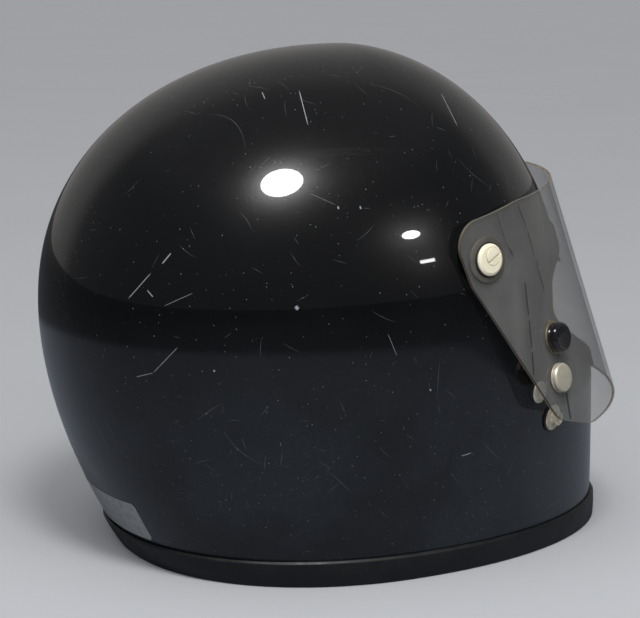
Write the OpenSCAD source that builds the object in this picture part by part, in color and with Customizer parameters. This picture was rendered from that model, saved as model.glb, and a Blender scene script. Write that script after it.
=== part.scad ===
// Full face helmet with a hinged visor: shell, liners, pads, straps and fittings.
// Millimetres. +X is forward, +Y is the wearer's left, +Z is up, z = 0 is the resting plane.

/* [Shell] */
// Height of the crown above the resting plane
shell_height = 270.5; // [262:0.5:280]
// Level at which the shell is longest and widest
widest_z = 134; // [128:0.5:140]
// Forehead ahead of the origin at the widest level
forehead_reach = 122; // [118:0.5:125]
// Back of the head behind the origin at the widest level
rear_reach = 168.5; // [162:0.5:175]
// Half the width at the widest level
half_width = 122; // [119:0.5:125]
// Chin bar ahead of the forehead
chin_step = 22.5; // [19:0.5:25]
// Height over which the forehead line runs out to the chin bar
chin_blend = 45; // [42:1:50]
// How much further forward the chin bar is at its foot
chin_flare = 9.5; // [6:0.5:12]
// How far the back is drawn in at the foot
rear_tuck = 45.8; // [40:0.5:50]
// How far each side is drawn in at the foot
side_tuck = 18.8; // [15:0.5:22]
// Widest place behind the origin
widest_back = 8.5; // [5:0.5:12]
// Wall thickness of the shell
shell_wall = 4; // [3.4:0.1:4.6]
// Foot of the shell above the resting plane
shell_foot = 3; // [2.6:0.1:4]

/* [Eye port] */
// Half the width of the opening, seen from the front
port_half = 92.5; // [88:0.5:95]
// Top edge of the opening
port_top = 165; // [160:0.5:168]
// Bottom edge of the opening at the middle
port_low = 90; // [86:0.5:95]
// How much higher the bottom edge is at the sides
port_side_rise = 26; // [20:0.5:30]
// Rubber over the outside of the shell at the opening
port_lip = 9; // [6:0.5:10]
// Thickness of the rubber lips
lip_wall = 1.6; // [1.2:0.1:2]

/* [Neck trim] */
// Height of the trim on the outside
trim_height = 15; // [12:0.5:17]
// How far the trim stands out of the shell
trim_out = 2.4; // [1.8:0.1:3]

/* [Liners and pads] */
// Thickness of the impact liner
liner_thick = 25; // [22:0.5:27]
// Foot of the impact liner above the resting plane
liner_foot = 30; // [29.6:0.1:33]
// Thickness of the cloth liner at the crown
comfort_thick = 6; // [4:0.5:8]
// Foot of the cloth liner
comfort_foot = 112; // [108:1:118]
// Thickness of the chin bar liner
chin_liner_thick = 14; // [10:0.5:16]
// Thickness of a cheek pad at its crown
cheek_thick = 22; // [16:0.5:26]
// Length of a cheek pad
cheek_length = 78; // [70:1:82]
// Height of a cheek pad
cheek_height = 80; // [70:1:84]
// Half the thickness of the neck roll
roll_radius = 9.3; // [8:0.1:9.5]

/* [Visor] */
// Pivot axis ahead of the origin
pivot_x = 22; // [20:0.5:24]
// Pivot axis above the resting plane
pivot_z = 169; // [167:0.5:171]
// How far the visor's front line stands ahead of the forehead, at the pivot's height
visor_ahead = 0; // [-1:0.5:3]
// How far the middle of the visor sheet stands outside the shell's widest level
visor_stand = 0.5; // [0:0.25:2]
// Thickness of the visor sheet
visor_thick = 2; // [1.6:0.1:2.4]
// Backward lean of the visor, top edge to the rear
visor_lean = 19.8; // [19:0.1:20.6]
// Outward spread of each side for each millimetre down
visor_spread = 0.05; // [0.02:0.01:0.07]
// Rise of the top edge above the pivot
visor_rise = 21.5; // [18:0.5:23]
// Drop from the pivot to the bottom edge at the front
visor_drop = 127; // [120:0.5:130]
// Radius of the ivory screw head
screw_head_r = 8.8; // [7.5:0.1:9.5]
// Radius of the screw's shoulder
screw_shoulder_r = 4; // [3.5:0.1:4.4]
// Radius of the grommet's outer flange
grommet_r = 12; // [11.4:0.1:12.4]

/* [Fittings] */
// Radius of the snap cap
cap_r = 7.8; // [7:0.1:8.2]
// Radius of the black knob
knob_r = 8.2; // [7.5:0.1:8.4]
// Height of the black knob
knob_height = 7; // [5:0.5:8]
// Radius of the stud's base
stud_r = 7; // [6.4:0.1:7.6]
// Radius of the strap rivet's head
rivet_head_r = 5.2; // [4.6:0.1:6]
// Radius of the rivet and stud shanks
shank_r = 2.2; // [1.8:0.1:2.4]

/* [Chin strap] */
// Width of the webbing
strap_width = 22; // [18:0.5:23]
// Thickness of the webbing
strap_thick = 2; // [1.6:0.1:2.2]
// Wire radius of the D-rings
ring_wire_r = 1.6; // [1.4:0.05:1.8]
// Radius of the D-rings' bow
ring_bow_r = 13.5; // [13.5:0.25:15]

/* [Hidden] */
// Curve exponents of the shell: rear, front and side profiles, and front and rear plans
RISE_REAR = 2.15;
RISE_FRONT = 1.86;
RISE_SIDE = 2.08;
TUCK_POWER = 1.86;
PLAN_FRONT = 2;
PLAN_REAR = 2.16;
PORT_SQUARE = 3.2;
port_steps = 72;

// Longer than any piece, for cuts that run right through
far = 2 * (forehead_reach + rear_reach);

// Clearances between neighbours, larger where both are faceted
gap = 0.3;
liner_gap = 0.6;
bore_gap = 0.2;
hinge_gap = 0.06;

// Front of the visor from the pivot axis, and half its width at its widest
visor_reach = forehead_reach - pivot_x + visor_ahead;
visor_half = half_width + visor_stand;
// Where the visor sheet is widest, and how pointed its plan is
VISOR_BACK = -18;
VISOR_PLAN = 1.75;
NOSE_EASE = 0.15;
// Corners of the visor seen from the side, from the pivot axis, each with its radius
visor_corners = [
    [-14.5, visor_rise, 17], [34, visor_rise - 1, 60], [visor_reach + 8, 2, 4],
    [visor_reach + 8, -visor_drop - 1, 4], [44, 8 - visor_drop, 40], [9.5, 25 - visor_drop, 24], [-12.6, -8, 14]
];

// Places of the fittings: x and z on the shell, forward and up from the pivot on the visor
stud_place = [75.5, 77];
rivet_place = [64, 93];
cap_place = [26, -79];
knob_place = [31, -60];

// Pivot: wedge spacer on the shell, grommet in the visor's hole, screw through both
spacer_r = 8;
grommet_hole_r = 9;
screw_thread_r = 3;
insert_r = 4.5;
insert_flange_r = 7;
insert_flange = 2;
head_height = 5;
flat_in = max(shell_round(spacer_r, 0)) + 0.7;
flat_out = max(sheet_round(grommet_r)) + visor_thick / 2 + 0.7;
insert_face = min(shell_round(insert_r, 0)) - gap;
insert_inner = min(shell_round(insert_flange_r, -shell_wall)) - gap;
insert_foot = insert_inner - insert_flange;

// Space left for the straps between the side liners and the chin liner
strap_front = 36;
strap_back = 76;
comfort_depth = shell_wall + liner_gap + liner_thick + 0.9;
roll_depth = shell_wall + 0.4 + roll_radius;
roll_z = liner_foot - 0.6 - roll_radius;

// Strap layers inside the wall, from the shell's outer surface inward
anchor_thick = 1.2;
anchor_depth = shell_wall + 1.4;
strap_depth = anchor_depth + anchor_thick + gap + strap_thick / 2;
tail_depth = strap_depth + strap_thick / 2 + gap;
ring_pitch = 4;
// Points of each strap, inward from the shell at the rivet and height
loop_place = [30, 46];
long_run = [[strap_depth, 103], [strap_depth, 85], [11, 65], [17, 45], [29, 25], [49, 10], [73, 3.4], [99, 1.4]];
ring_run = [[strap_depth, 103], [strap_depth, 86], [12, 73], [20, 62], [27, 54], [30, 49.4]];

$fn = 48;

// Signed power, for curves squarer or sharper than an ellipse
function spow(v, p) = v < 0 ? -pow(-v, p) : pow(v, p);

// Smooth step from 0 to 1
function ease(t) = let (c = min(1, max(0, t))) c * c * (3 - 2 * c);

// Share of its full size that a profile keeps at height z, grown by d
function rise(z, d, p) =
    let (t = (z - widest_z) / (shell_height + d - widest_z))
    t <= 0 ? 1 : t >= 1 ? 0 : pow(1 - pow(t, p), 1 / p);

// Depth below the widest level, 0 there and 1 at the resting plane
function below(z) = max(0, (widest_z - z) / widest_z);

function front_x(z, d) =
    (forehead_reach + d) * rise(z, d, RISE_FRONT)
    + chin_step * ease((widest_z - z) / chin_blend) + chin_flare * below(z);

function rear_x(z, d) = (rear_reach + d) * rise(z, d, RISE_REAR) - rear_tuck * pow(below(z), TUCK_POWER);

function half_y(z, d) = (half_width + d) * rise(z, d, RISE_SIDE) - side_tuck * pow(below(z), 2);

function mid_x(z, d) = -widest_back * rise(z, d, RISE_REAR);

// Point of the shell's surface, grown by d, at plan angle a and height z
function shell_pt(a, z, d) =
    let (m = mid_x(z, d), c = cos(a), s = sin(a), n = c > 0 ? PLAN_FRONT : PLAN_REAR)
    let (reach = c > 0 ? front_x(z, d) - m : rear_x(z, d) + m)
    [m + reach * spow(c, 2 / n), half_y(z, d) * spow(s, 2 / n), z];

// Side of the shell's surface above a place x, z of the middle plane
function side_y(x, z, d) =
    let (m = mid_x(z, d), n = x > m ? PLAN_FRONT : PLAN_REAR)
    let (reach = x > m ? front_x(z, d) - m : rear_x(z, d) + m)
    half_y(z, d) * pow(max(0, 1 - pow(abs(x - m) / reach, n)), 1 / n);

// Front of the shell's surface at a place y, z of the front view
function face_x(y, z, d) =
    let (m = mid_x(z, d))
    m + (front_x(z, d) - m) * pow(max(0, 1 - pow(abs(y) / half_y(z, d), PLAN_FRONT)), 1 / PLAN_FRONT);

// Outward direction of the left side at x, z
function side_normal(x, z) =
    let (h = 0.5, dx = (side_y(x + h, z, 0) - side_y(x - h, z, 0)) / (2 * h))
    let (dz = (side_y(x, z + h, 0) - side_y(x, z - h, 0)) / (2 * h))
    [-dx, 1, -dz] / norm([dx, 1, dz]);

// Outline of the eye port in the front view at angle q, grown by g
function port_yz(q, g) =
    let (k = pow(pow(abs(cos(q)), PORT_SQUARE) + pow(abs(sin(q)), PORT_SQUARE), -1 / PORT_SQUARE))
    let (w = port_half + g, y = w * cos(q) * k)
    let (low = port_low - g + port_side_rise * pow(y / w, 2), top = port_top + g)
    [y, (low + top) / 2 + (top - low) / 2 * sin(q) * k];

function port_pt(q, g, d) = let (p = port_yz(q, g)) [face_x(p.x, p.y, d), p.x, p.y];

// Point of the visor sheet at plan angle a and height s along its lean, grown by d
function visor_pt(a, s, d) =
    let (b = visor_half - visor_spread * s + d, l = visor_reach - VISOR_BACK + d)
    let (w = spow(sin(a), 1.1), e = pow(NOSE_EASE, VISOR_PLAN), full = pow(1 + pow(NOSE_EASE, 2), VISOR_PLAN / 2) - e)
    let (u = (pow(w * w + pow(NOSE_EASE, 2), VISOR_PLAN / 2) - e) / full)
    [VISOR_BACK + l * pow(max(0, 1 - u), 1 / VISOR_PLAN), b * w, s];

// Half width of the sheet's middle at f ahead of the pivot axis
function visor_y(f, s) =
    let (b = visor_half - visor_spread * s, l = visor_reach - VISOR_BACK)
    let (e = pow(NOSE_EASE, VISOR_PLAN), full = pow(1 + pow(NOSE_EASE, 2), VISOR_PLAN / 2) - e)
    let (u = 1 - pow((f - VISOR_BACK) / l, VISOR_PLAN))
    b * sqrt(max(0, pow(u * full + e, 2 / VISOR_PLAN) - pow(NOSE_EASE, 2)));

function visor_normal(f, s) =
    let (h = 0.5, df = (visor_y(f + h, s) - visor_y(f - h, s)) / (2 * h))
    [-df, 1, visor_spread] / norm([df, 1, visor_spread]);

// A polygon's corners, [x, y, radius] in clockwise order, turned into arcs
function rounded(corners, steps = 10) = [
    for (i = [0 : len(corners) - 1])
    let (n = len(corners), c = corners[i], p = corners[(i + n - 1) % n], q = corners[(i + 1) % n])
    let (u = [p.x - c.x, p.y - c.y], v = [q.x - c.x, q.y - c.y])
    let (eu = u / norm(u), ev = v / norm(v), half = acos(eu * ev) / 2, r = c[2])
    let (mid = (eu + ev) / norm(eu + ev), centre = [c.x, c.y] + mid * r / sin(half))
    let (start = atan2(-mid.y, -mid.x), sweep = 90 - half)
    for (k = [0 : steps]) let (a = start + sweep - 2 * sweep * k / steps)
    centre + r * [cos(a), sin(a)]
];

// Point on a smooth run through the places p, at t from 0 to its last place
function run_pt(p, t) =
    let (n = len(p), i = min(n - 2, floor(t)), u = t - i)
    let (a = p[max(0, i - 1)], b = p[i], c = p[i + 1], d = p[min(n - 1, i + 2)])
    0.5 * (2 * b + (c - a) * u + (2 * a - 5 * b + 4 * c - d) * u * u + (3 * b - a - 3 * c + d) * u * u * u);

// Shell's side, and the visor sheet's, at places round the pivot axis
function shell_round(r, d) = [for (a = [0 : 30 : 330]) side_y(pivot_x + r * cos(a), pivot_z + r * sin(a), d)];
function sheet_round(r) = [for (a = [0 : 30 : 330]) visor_y(r * cos(a), r * sin(a))];

// Triangles of a grid of rows of points, each row a closed loop
function loop_faces(rows, cols, base = 0) = [
    for (i = [0 : rows - 2], j = [0 : cols - 1])
    let (a = base + i * cols + j, b = base + i * cols + (j + 1) % cols)
    each [[a, a + cols, b], [b, a + cols, b + cols]]
];

// A solid swept through loops of points; closed joins the last loop to the first
module swept(loops, closed = false) {
    rows = len(loops);
    cols = len(loops[0]);
    points = [for (l = loops) each l];
    seam = [for (j = [0 : cols - 1])
        let (a = (rows - 1) * cols, k = (j + 1) % cols)
        each [[a + j, j, a + k], [a + k, j, k]]];
    polyhedron(points, concat(loop_faces(rows, cols), closed ? seam : cap_faces(rows, cols)), convexity = 8);
}

// Flat ends of a swept solid whose loops are convex
function cap_faces(rows, cols) = concat(
    [for (j = [1 : cols - 2]) [0, j, j + 1]],
    [for (j = [1 : cols - 2]) [(rows - 1) * cols, (rows - 1) * cols + j + 1, (rows - 1) * cols + j]]
);

// Heights at which the shell's surface gets a row of points, from z = foot to below the crown,
// closer together where the forehead line runs out to the chin bar
function row_heights(foot, d, low_rows, high_rows) =
    let (bend = max(foot, widest_z - chin_blend), plain = foot < bend ? round(low_rows / 3) : 0)
    concat(
        plain == 0 ? [] : [for (i = [0 : plain - 1]) foot + (bend - foot) * i / plain],
        [for (i = [0 : low_rows - plain - 1]) bend + (widest_z - bend) * i / (low_rows - plain)],
        [for (i = [0 : high_rows - 1]) widest_z + (shell_height + d - widest_z) * sin(90 * i / high_rows)]
    );

// Solid bounded by the shell's surface grown by d, flat at z = foot
module dome(d, foot, cols = 64, low_rows = 12, high_rows = 14) {
    heights = row_heights(foot, d, low_rows, high_rows);
    rows = len(heights);
    rings = [for (z = heights, j = [0 : cols - 1]) shell_pt(360 * j / cols, z, d)];
    crown = rows * cols;
    foot_cap = [for (j = [1 : cols - 2]) [0, j, j + 1]];
    crown_cap = [for (j = [0 : cols - 1]) [crown, crown - cols + (j + 1) % cols, crown - cols + j]];
    points = concat(rings, [[0, 0, shell_height + d]]);
    polyhedron(points, concat(loop_faces(rows, cols), foot_cap, crown_cap), convexity = 6);
}

// Prism through the eye port along X, its outline grown by g
module port_cutter(g, steps = port_steps) {
    outline = [for (i = [0 : steps - 1]) port_yz(360 * (i + 0.5) / steps, g)];
    rotate([90, 0, 90])
        linear_extrude(far)
            polygon(outline);
}

// Children on the shell's side at place [x, z], their own +Z pointing out; side is 1 left, -1 right
module on_shell(place, side) {
    n = side_normal(place.x, place.y);
    mirror([0, side < 0 ? 1 : 0, 0])
        translate([place.x, side_y(place.x, place.y, 0), place.y])
            rotate([0, acos(n.z), atan2(n.y, n.x)])
                children();
}

// Children in the visor's own frame: the pivot axis along Y, +Z up along the sheet's lean
module in_visor() {
    translate([pivot_x, 0, pivot_z])
        rotate([0, -visor_lean, 0])
            children();
}

// Children on the middle of the visor sheet at place [forward, up], their own +Z pointing out
module on_visor(place, side) {
    n = visor_normal(place.x, place.y);
    mirror([0, side < 0 ? 1 : 0, 0])
        in_visor()
            translate([place.x, visor_y(place.x, place.y), place.y])
                rotate([0, acos(n.z), atan2(n.y, n.x)])
                    children();
}

// Children on the pivot axis of one side, their own +Z pointing out
module on_pivot(side) {
    mirror([0, side < 0 ? 1 : 0, 0])
        translate([pivot_x, 0, pivot_z])
            rotate([-90, 0, 0])
                children();
}

module shell() {
    color("#0b0b0d")
    difference() {
        dome(0, shell_foot);
        dome(-shell_wall, shell_foot - 1, 56, 11, 10);
        port_cutter(0);
        for (side = [-1, 1]) {
            on_pivot(side)
                cylinder(r = insert_r + bore_gap, h = half_width);
            on_shell(rivet_place, side)
                cylinder(r = shank_r + bore_gap, h = 4 * shell_wall, center = true);
            on_shell(stud_place, side)
                cylinder(r = shank_r + bore_gap, h = 4 * shell_wall, center = true);
        }
    }
}

module impact_liner() {
    color("#e8e8e4")
    difference() {
        dome(-shell_wall - liner_gap, liner_foot, 44, 6, 9);
        dome(-shell_wall - liner_gap - liner_thick, liner_foot - 1, 40, 5, 8);
        port_cutter(port_lip + 1, 48);
        translate([strap_front, -far, 0])
            cube([far, 2 * far, port_low + port_side_rise + gap]);
        for (side = [-1, 1])
            on_pivot(side)
                translate([0, 0, insert_foot - liner_gap])
                    cylinder(r = insert_flange_r + 1, h = half_width);
    }
}

module chin_liner() {
    color("#e8e8e4")
    difference() {
        dome(-shell_wall - liner_gap, trim_height + 7, 48, 12, 2);
        dome(-shell_wall - liner_gap - chin_liner_thick, trim_height + 6, 40, 12, 2);
        for (side = [-1, 1])
            on_shell(stud_place, side)
                cylinder(r = shank_r + 2, h = 4 * shell_wall, center = true, $fn = 16);
        translate([-far, -far, 0])
            cube([far + strap_back, 2 * far, far]);
        translate([0, -far, port_low - port_lip - gap])
            cube([far, 2 * far, far]);
    }
}

module comfort_liner() {
    color("#26262a")
    difference() {
        dome(-comfort_depth, comfort_foot, 40, 2, 8);
        dome(-comfort_depth - comfort_thick, comfort_foot - 1, 36, 2, 8);
        port_cutter(port_lip + 1, 48);
        translate([strap_front, -far, 0])
            cube([far, 2 * far, port_low + port_side_rise + gap]);
    }
}

// Crowned pad against the impact liner
module cheek_pad(side) {
    cols = 12;
    rows = 12;
    x0 = strap_front - 2 - cheek_length;
    z0 = comfort_foot - 1 - cheek_height;
    back = [for (i = [0 : rows], j = [0 : cols])
        let (x = x0 + cheek_length * j / cols, z = z0 + cheek_height * i / rows)
        [x, side * side_y(x, z, -comfort_depth), z]];
    front = [for (i = [0 : rows], j = [0 : cols])
        let (u = 2 * j / cols - 1, v = 2 * i / rows - 1)
        let (x = x0 + cheek_length * j / cols, z = z0 + cheek_height * i / rows)
        let (t = 2 + (cheek_thick - 2) * pow((1 - pow(abs(u), 4)) * (1 - pow(abs(v), 4)), 0.6))
        [x, side * (side_y(x, z, -comfort_depth) - t), z]];
    color("#26262a")
        sheet_solid(back, front, rows, cols, side);
}

// Closed solid between two grids of points with rows + 1 by cols + 1 points each
module sheet_solid(back, front, rows, cols, side) {
    n = (rows + 1) * (cols + 1);
    w = cols + 1;
    skin = [for (i = [0 : rows - 1], j = [0 : cols - 1])
        let (a = i * w + j)
        each [[a, a + 1, a + w], [a + 1, a + w + 1, a + w]]];
    inner = [for (f = skin) [f[0] + n, f[2] + n, f[1] + n]];
    rim = concat(
        [for (j = [0 : cols - 1]) j],
        [for (i = [0 : rows - 1]) i * w + cols],
        [for (j = [cols : -1 : 1]) rows * w + j],
        [for (i = [rows : -1 : 1]) i * w]
    );
    m = len(rim);
    edge = [for (k = [0 : m - 1])
        let (a = rim[k], b = rim[(k + 1) % m])
        each [[a, a + n, b], [b, a + n, b + n]]];
    faces = concat(skin, inner, edge);
    polyhedron(concat(back, front), side > 0 ? [for (f = faces) [f[0], f[2], f[1]]] : faces, convexity = 4);
}

module neck_roll() {
    steps = 28;
    sides = 14;
    sweep = 140;
    color("#26262a")
        swept([for (i = [0 : steps])
            let (a = 180 - sweep / 2 + sweep * i / steps)
            let (r = roll_radius * (0.55 + 0.45 * sin(180 * i / steps)))
            [for (k = [0 : sides - 1])
                shell_pt(a, roll_z + r * sin(-360 * k / sides), -roll_depth + r * cos(-360 * k / sides))]
        ]);
}

// Bead round the foot of the shell
module neck_trim() {
    stations = 60;
    out = trim_out;
    foot = shell_foot - 0.2;
    wall = shell_wall + gap;
    profile = [
        [out - 0.4, 1], [out + 0.1, trim_height / 2], [out - 0.2, trim_height - 2],
        [out - 1.2, trim_height], [0.2, trim_height], [0.2, foot], [-wall, foot],
        [-wall, trim_height - 3], [-wall - 1.4, trim_height - 3], [-wall - 1.8, shell_foot],
        [-wall - 0.6, 0], [0.8, 0]
    ];
    color("#161617")
        swept([for (i = [0 : stations - 1])
            [for (p = profile) shell_pt(360 * i / stations, p.y, p.x)]], true);
}

// Rubber U strip round the eye port
module port_trim() {
    stations = port_steps;
    web = 0.25;
    seat = 0.4;
    inside = shell_wall + 2 * gap;
    profile = [
        [port_lip, seat], [port_lip - 0.6, lip_wall + seat], [-1.4, lip_wall + seat],
        [-2.4, 1], [-2.4, -inside - 1], [-1.4, -inside - lip_wall], [port_lip - 2.5, -inside - lip_wall],
        [port_lip - 2, -inside], [-web, -inside], [-web, seat]
    ];
    color("#101011")
        swept([for (i = [0 : stations - 1])
            [for (p = profile) port_pt(360 * (i + 0.5) / stations, p.x, p.y)]], true);
}

// Threaded insert in the shell, its flange against the inside of the wall
module pivot_insert(side) {
    color("#b08a3a")
    on_pivot(side)
        difference() {
            union() {
                translate([0, 0, insert_foot])
                    cylinder(r = insert_r, h = insert_face - insert_foot);
                translate([0, 0, insert_foot])
                    cylinder(r = insert_flange_r, h = insert_flange);
            }
            translate([0, 0, insert_foot - 1])
                cylinder(r = screw_thread_r + 0.05, h = insert_face - insert_foot + 2);
        }
}

// Wedge that gives the visor a flat seat square to the pivot axis
module pivot_spacer(side) {
    color("#111112")
    difference() {
        on_pivot(side)
            difference() {
                translate([0, 0, flat_in - 12])
                    cylinder(r = spacer_r, h = 12);
                translate([0, 0, flat_in - 13])
                    cylinder(r = screw_shoulder_r + hinge_gap, h = 14);
            }
        dome(0.15, 100, 96, 4, 18);
    }
}

module pivot_screw(side) {
    under = flat_out + bore_gap;
    color("#e9e2cf")
    on_pivot(side)
        difference() {
            union() {
                translate([0, 0, insert_foot + 0.5])
                    cylinder(r = screw_thread_r, h = insert_face - insert_foot);
                translate([0, 0, insert_face + 0.05])
                    cylinder(r = screw_shoulder_r, h = under - insert_face);
                translate([0, 0, under])
                    rotate_extrude()
                        polygon(screw_head_outline());
                translate([0, 0, under + head_height - 0.5])
                    cylinder(r = 3.6, h = 1.5);
            }
            translate([-screw_head_r, -1.1, under + head_height - 1.6])
                cube([2 * screw_head_r, 2.2, 5]);
        }
}

// Half section of the screw's head: flat under, rounded shoulder, slightly domed top
function screw_head_outline() =
    let (r = screw_head_r, h = head_height)
    concat([[0, 0], [r, 0]], [for (a = [0 : 15 : 90]) [r - 2.4 + 2.4 * cos(a), h - 2.8 + 2.4 * sin(a)]], [[0, h]]);

module stud_washer(side) {
    color("#1a1512")
    on_shell(stud_place, side)
        washer_ring(stud_r + 0.9, shank_r + bore_gap, 0.35, 1.2);
}

// Flat ring on the shell, its underside clear of the curved surface
module washer_ring(outer, inner, from, to) {
    difference() {
        translate([0, 0, from])
            cylinder(r = outer, h = to - from);
        translate([0, 0, from - 1])
            cylinder(r = inner, h = to - from + 2);
    }
}

module snap_stud(side) {
    color("#b9b3a6")
    on_shell(stud_place, side)
        difference() {
            union() {
                translate([0, 0, 1.25])
                    rotate_extrude()
                        polygon([[0, 0], [stud_r, 0], [stud_r, 0.5], [stud_r - 1.6, 1.1], [4.2, 1.1],
                            [3.7, 1.5], [3.3, 3.6], [3.8, 4.6], [3.8, 5.4], [3.2, 6], [0, 6]]);
                translate([0, 0, -shell_wall - 1.5])
                    cylinder(r = shank_r, h = shell_wall + 3);
                translate([0, 0, -shell_wall - 1.5])
                    cylinder(r = shank_r + 1.2, h = 1);
            }
            translate([0, 0, 2.6])
                cylinder(r = 2.1, h = 5);
        }
}

module strap_rivet(side) {
    color("#c9ccd0")
    on_shell(rivet_place, side) {
        translate([0, 0, 0.3])
            rotate_extrude()
                polygon([[0, 0], [rivet_head_r, 0], [rivet_head_r, 0.3], [rivet_head_r - 0.6, 0.8],
                    [rivet_head_r * 0.5, 1.1], [0, 1.2]]);
        translate([0, 0, -tail_depth - 0.4])
            cylinder(r = shank_r, h = tail_depth + 0.8);
        translate([0, 0, -tail_depth - 0.9])
            cylinder(r = shank_r + 1.6, h = 0.9);
    }
}

// Plate that spreads the strap's pull behind the shell
module anchor_plate(side) {
    color("#8d9196")
    on_shell(rivet_place, side)
        difference() {
            translate([-7, -strap_width / 2, -anchor_depth - anchor_thick])
                cube([14, strap_width, anchor_thick]);
            cylinder(r = shank_r + bore_gap, h = 30, center = true);
        }
}

// Children in the strap's frame: +X outward and level at the rivet, +Z up from z = 0
module in_strap(side) {
    n = side_normal(rivet_place.x, rivet_place.y);
    mirror([0, side < 0 ? 1 : 0, 0])
        translate([rivet_place.x, side_y(rivet_place.x, rivet_place.y, 0), 0])
            rotate([0, 0, atan2(n.y, n.x)])
                children();
}

// Webbing along a run of points, each inward and height
module webbing(run, steps) {
    last = len(run) - 1;
    swept([for (i = [0 : steps])
        let (t = last * i / steps, p = run_pt(run, t), q = run_pt(run, min(last, t + 0.02)))
        let (o = run_pt(run, max(0, t - 0.02)), along = (q - o) / norm(q - o))
        let (u = strap_thick / 2 * [along.y, -along.x], w = strap_width / 2)
        [for (k = [[1, 0.94], [1, -0.94], [0.5, -1], [-0.5, -1], [-1, -0.94], [-1, 0.94], [-0.5, 1], [0.5, 1]])
            [-p.x - k.x * u.x, k.y * w, p.y + k.x * u.y]]
    ]);
}

// Strap with the two rings: webbing sewn into a loop round both bars
module ring_strap() {
    loop_r = ring_wire_r + strap_thick;
    color("#2a2a2c")
    in_strap(1)
        difference() {
            union() {
                difference() {
                    webbing(ring_run, 16);
                    rivet_bore();
                }
                translate([-loop_place.x, strap_width / 2, loop_place.y])
                    rotate([90, 0, 0])
                        linear_extrude(strap_width)
                            union() {
                                translate([-ring_pitch / 2, -loop_r])
                                    square([ring_pitch, 2 * loop_r]);
                                translate([-ring_pitch / 2, 0])
                                    circle(r = loop_r);
                                translate([ring_pitch / 2, 0])
                                    circle(r = loop_r);
                            }
            }
            for (k = [-1, 1])
                translate([k * ring_pitch / 2 - loop_place.x, 0, loop_place.y])
                    rotate([90, 0, 0])
                        cylinder(r = ring_wire_r + hinge_gap, h = strap_width + 2, center = true);
        }
}

// Hole in a strap for its rivet
module rivet_bore() {
    translate([-strap_depth, 0, rivet_place.y])
        rotate([0, 90, 0])
            cylinder(r = shank_r + bore_gap, h = 8, center = true);
}

module long_strap() {
    color("#2a2a2c")
    in_strap(-1)
        difference() {
            webbing(long_run, 30);
            rivet_bore();
        }
}

// D-ring hanging from its straight bar; k is 1 for the outer ring, -1 for the inner
module d_ring(k) {
    color("#aeb2b7")
    in_strap(1)
        translate([k * ring_pitch / 2 - loop_place.x, 0, loop_place.y]) {
            rotate([90, 0, 0])
                cylinder(r = ring_wire_r, h = 2 * ring_bow_r, center = true);
            rotate([-90, 0, 90])
                rotate_extrude(angle = 180)
                    translate([ring_bow_r, 0])
                        circle(r = ring_wire_r, $fn = 24);
            for (y = [-ring_bow_r, ring_bow_r])
                translate([0, y, 0])
                    sphere(r = ring_wire_r, $fn = 24);
        }
}

module snap_cap(side) {
    color("#b5ab95")
    on_visor(cap_place, side)
        difference() {
            union() {
                translate([0, 0, visor_thick / 2 + 0.05])
                    rotate_extrude()
                        polygon(concat([[0, 0], [cap_r, 0]],
                            [for (a = [0 : 15 : 75]) [cap_r - 1.5 + 1.5 * cos(a), 0.6 + 1.2 * sin(a)]],
                            [[0, 2.1]]));
                translate([0, 0, -visor_thick / 2 - 1.6])
                    cylinder(r = shank_r, h = visor_thick + 2);
            }
        }
}

// Female half of the press stud behind the visor
module snap_socket(side) {
    color("#6f6a60")
    on_visor(cap_place, side)
        translate([0, 0, -visor_thick / 2 - gap])
            mirror([0, 0, 1])
                difference() {
                    rotate_extrude()
                        polygon([[0, 0], [6.4, 0], [6.4, 1], [5.6, 1.6], [5.2, 3.4], [4.2, 3.4], [4.2, 1.7], [0, 1.7]]);
                    translate([0, 0, -1])
                        cylinder(r = shank_r + bore_gap, h = 4);
                }
}

module knob(side) {
    color("#0d0d0e")
    on_visor(knob_place, side)
        difference() {
            union() {
                translate([0, 0, visor_thick / 2 + 0.7])
                    rotate_extrude()
                        polygon(concat([[0, 0], [knob_r, 0]],
                            [for (a = [0 : 15 : 90]) [knob_r - 1.8 + 1.8 * cos(a), knob_height - 1.8 + 1.8 * sin(a)]],
                            [[knob_r - 3, knob_height - 0.8], [0, knob_height - 0.8]]));
                translate([0, 0, -visor_thick / 2 - 3])
                    cylinder(r = shank_r, h = visor_thick + 4);
            }
        }
}

// Thin metal ring under the knob, with a tab above and below
module knob_ring(side) {
    color("#9a9da1")
    on_visor(knob_place, side)
        difference() {
            union() {
                translate([0, 0, visor_thick / 2 + 0.05])
                    cylinder(r = knob_r + 1, h = 0.6);
                translate([-knob_r - 2.6, -1.3, visor_thick / 2 + 0.05])
                    cube([2 * knob_r + 5.2, 2.6, 0.6]);
            }
            cylinder(r = shank_r + bore_gap, h = 20, center = true);
        }
}

module knob_backing(side) {
    color("#0d0d0e")
    on_visor(knob_place, side)
        translate([0, 0, -visor_thick / 2 - 4 - gap])
            difference() {
                cylinder(r = 6.5, h = 4);
                translate([0, 0, 0.9])
                    cylinder(r = shank_r + bore_gap, h = 5);
            }
}

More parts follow.
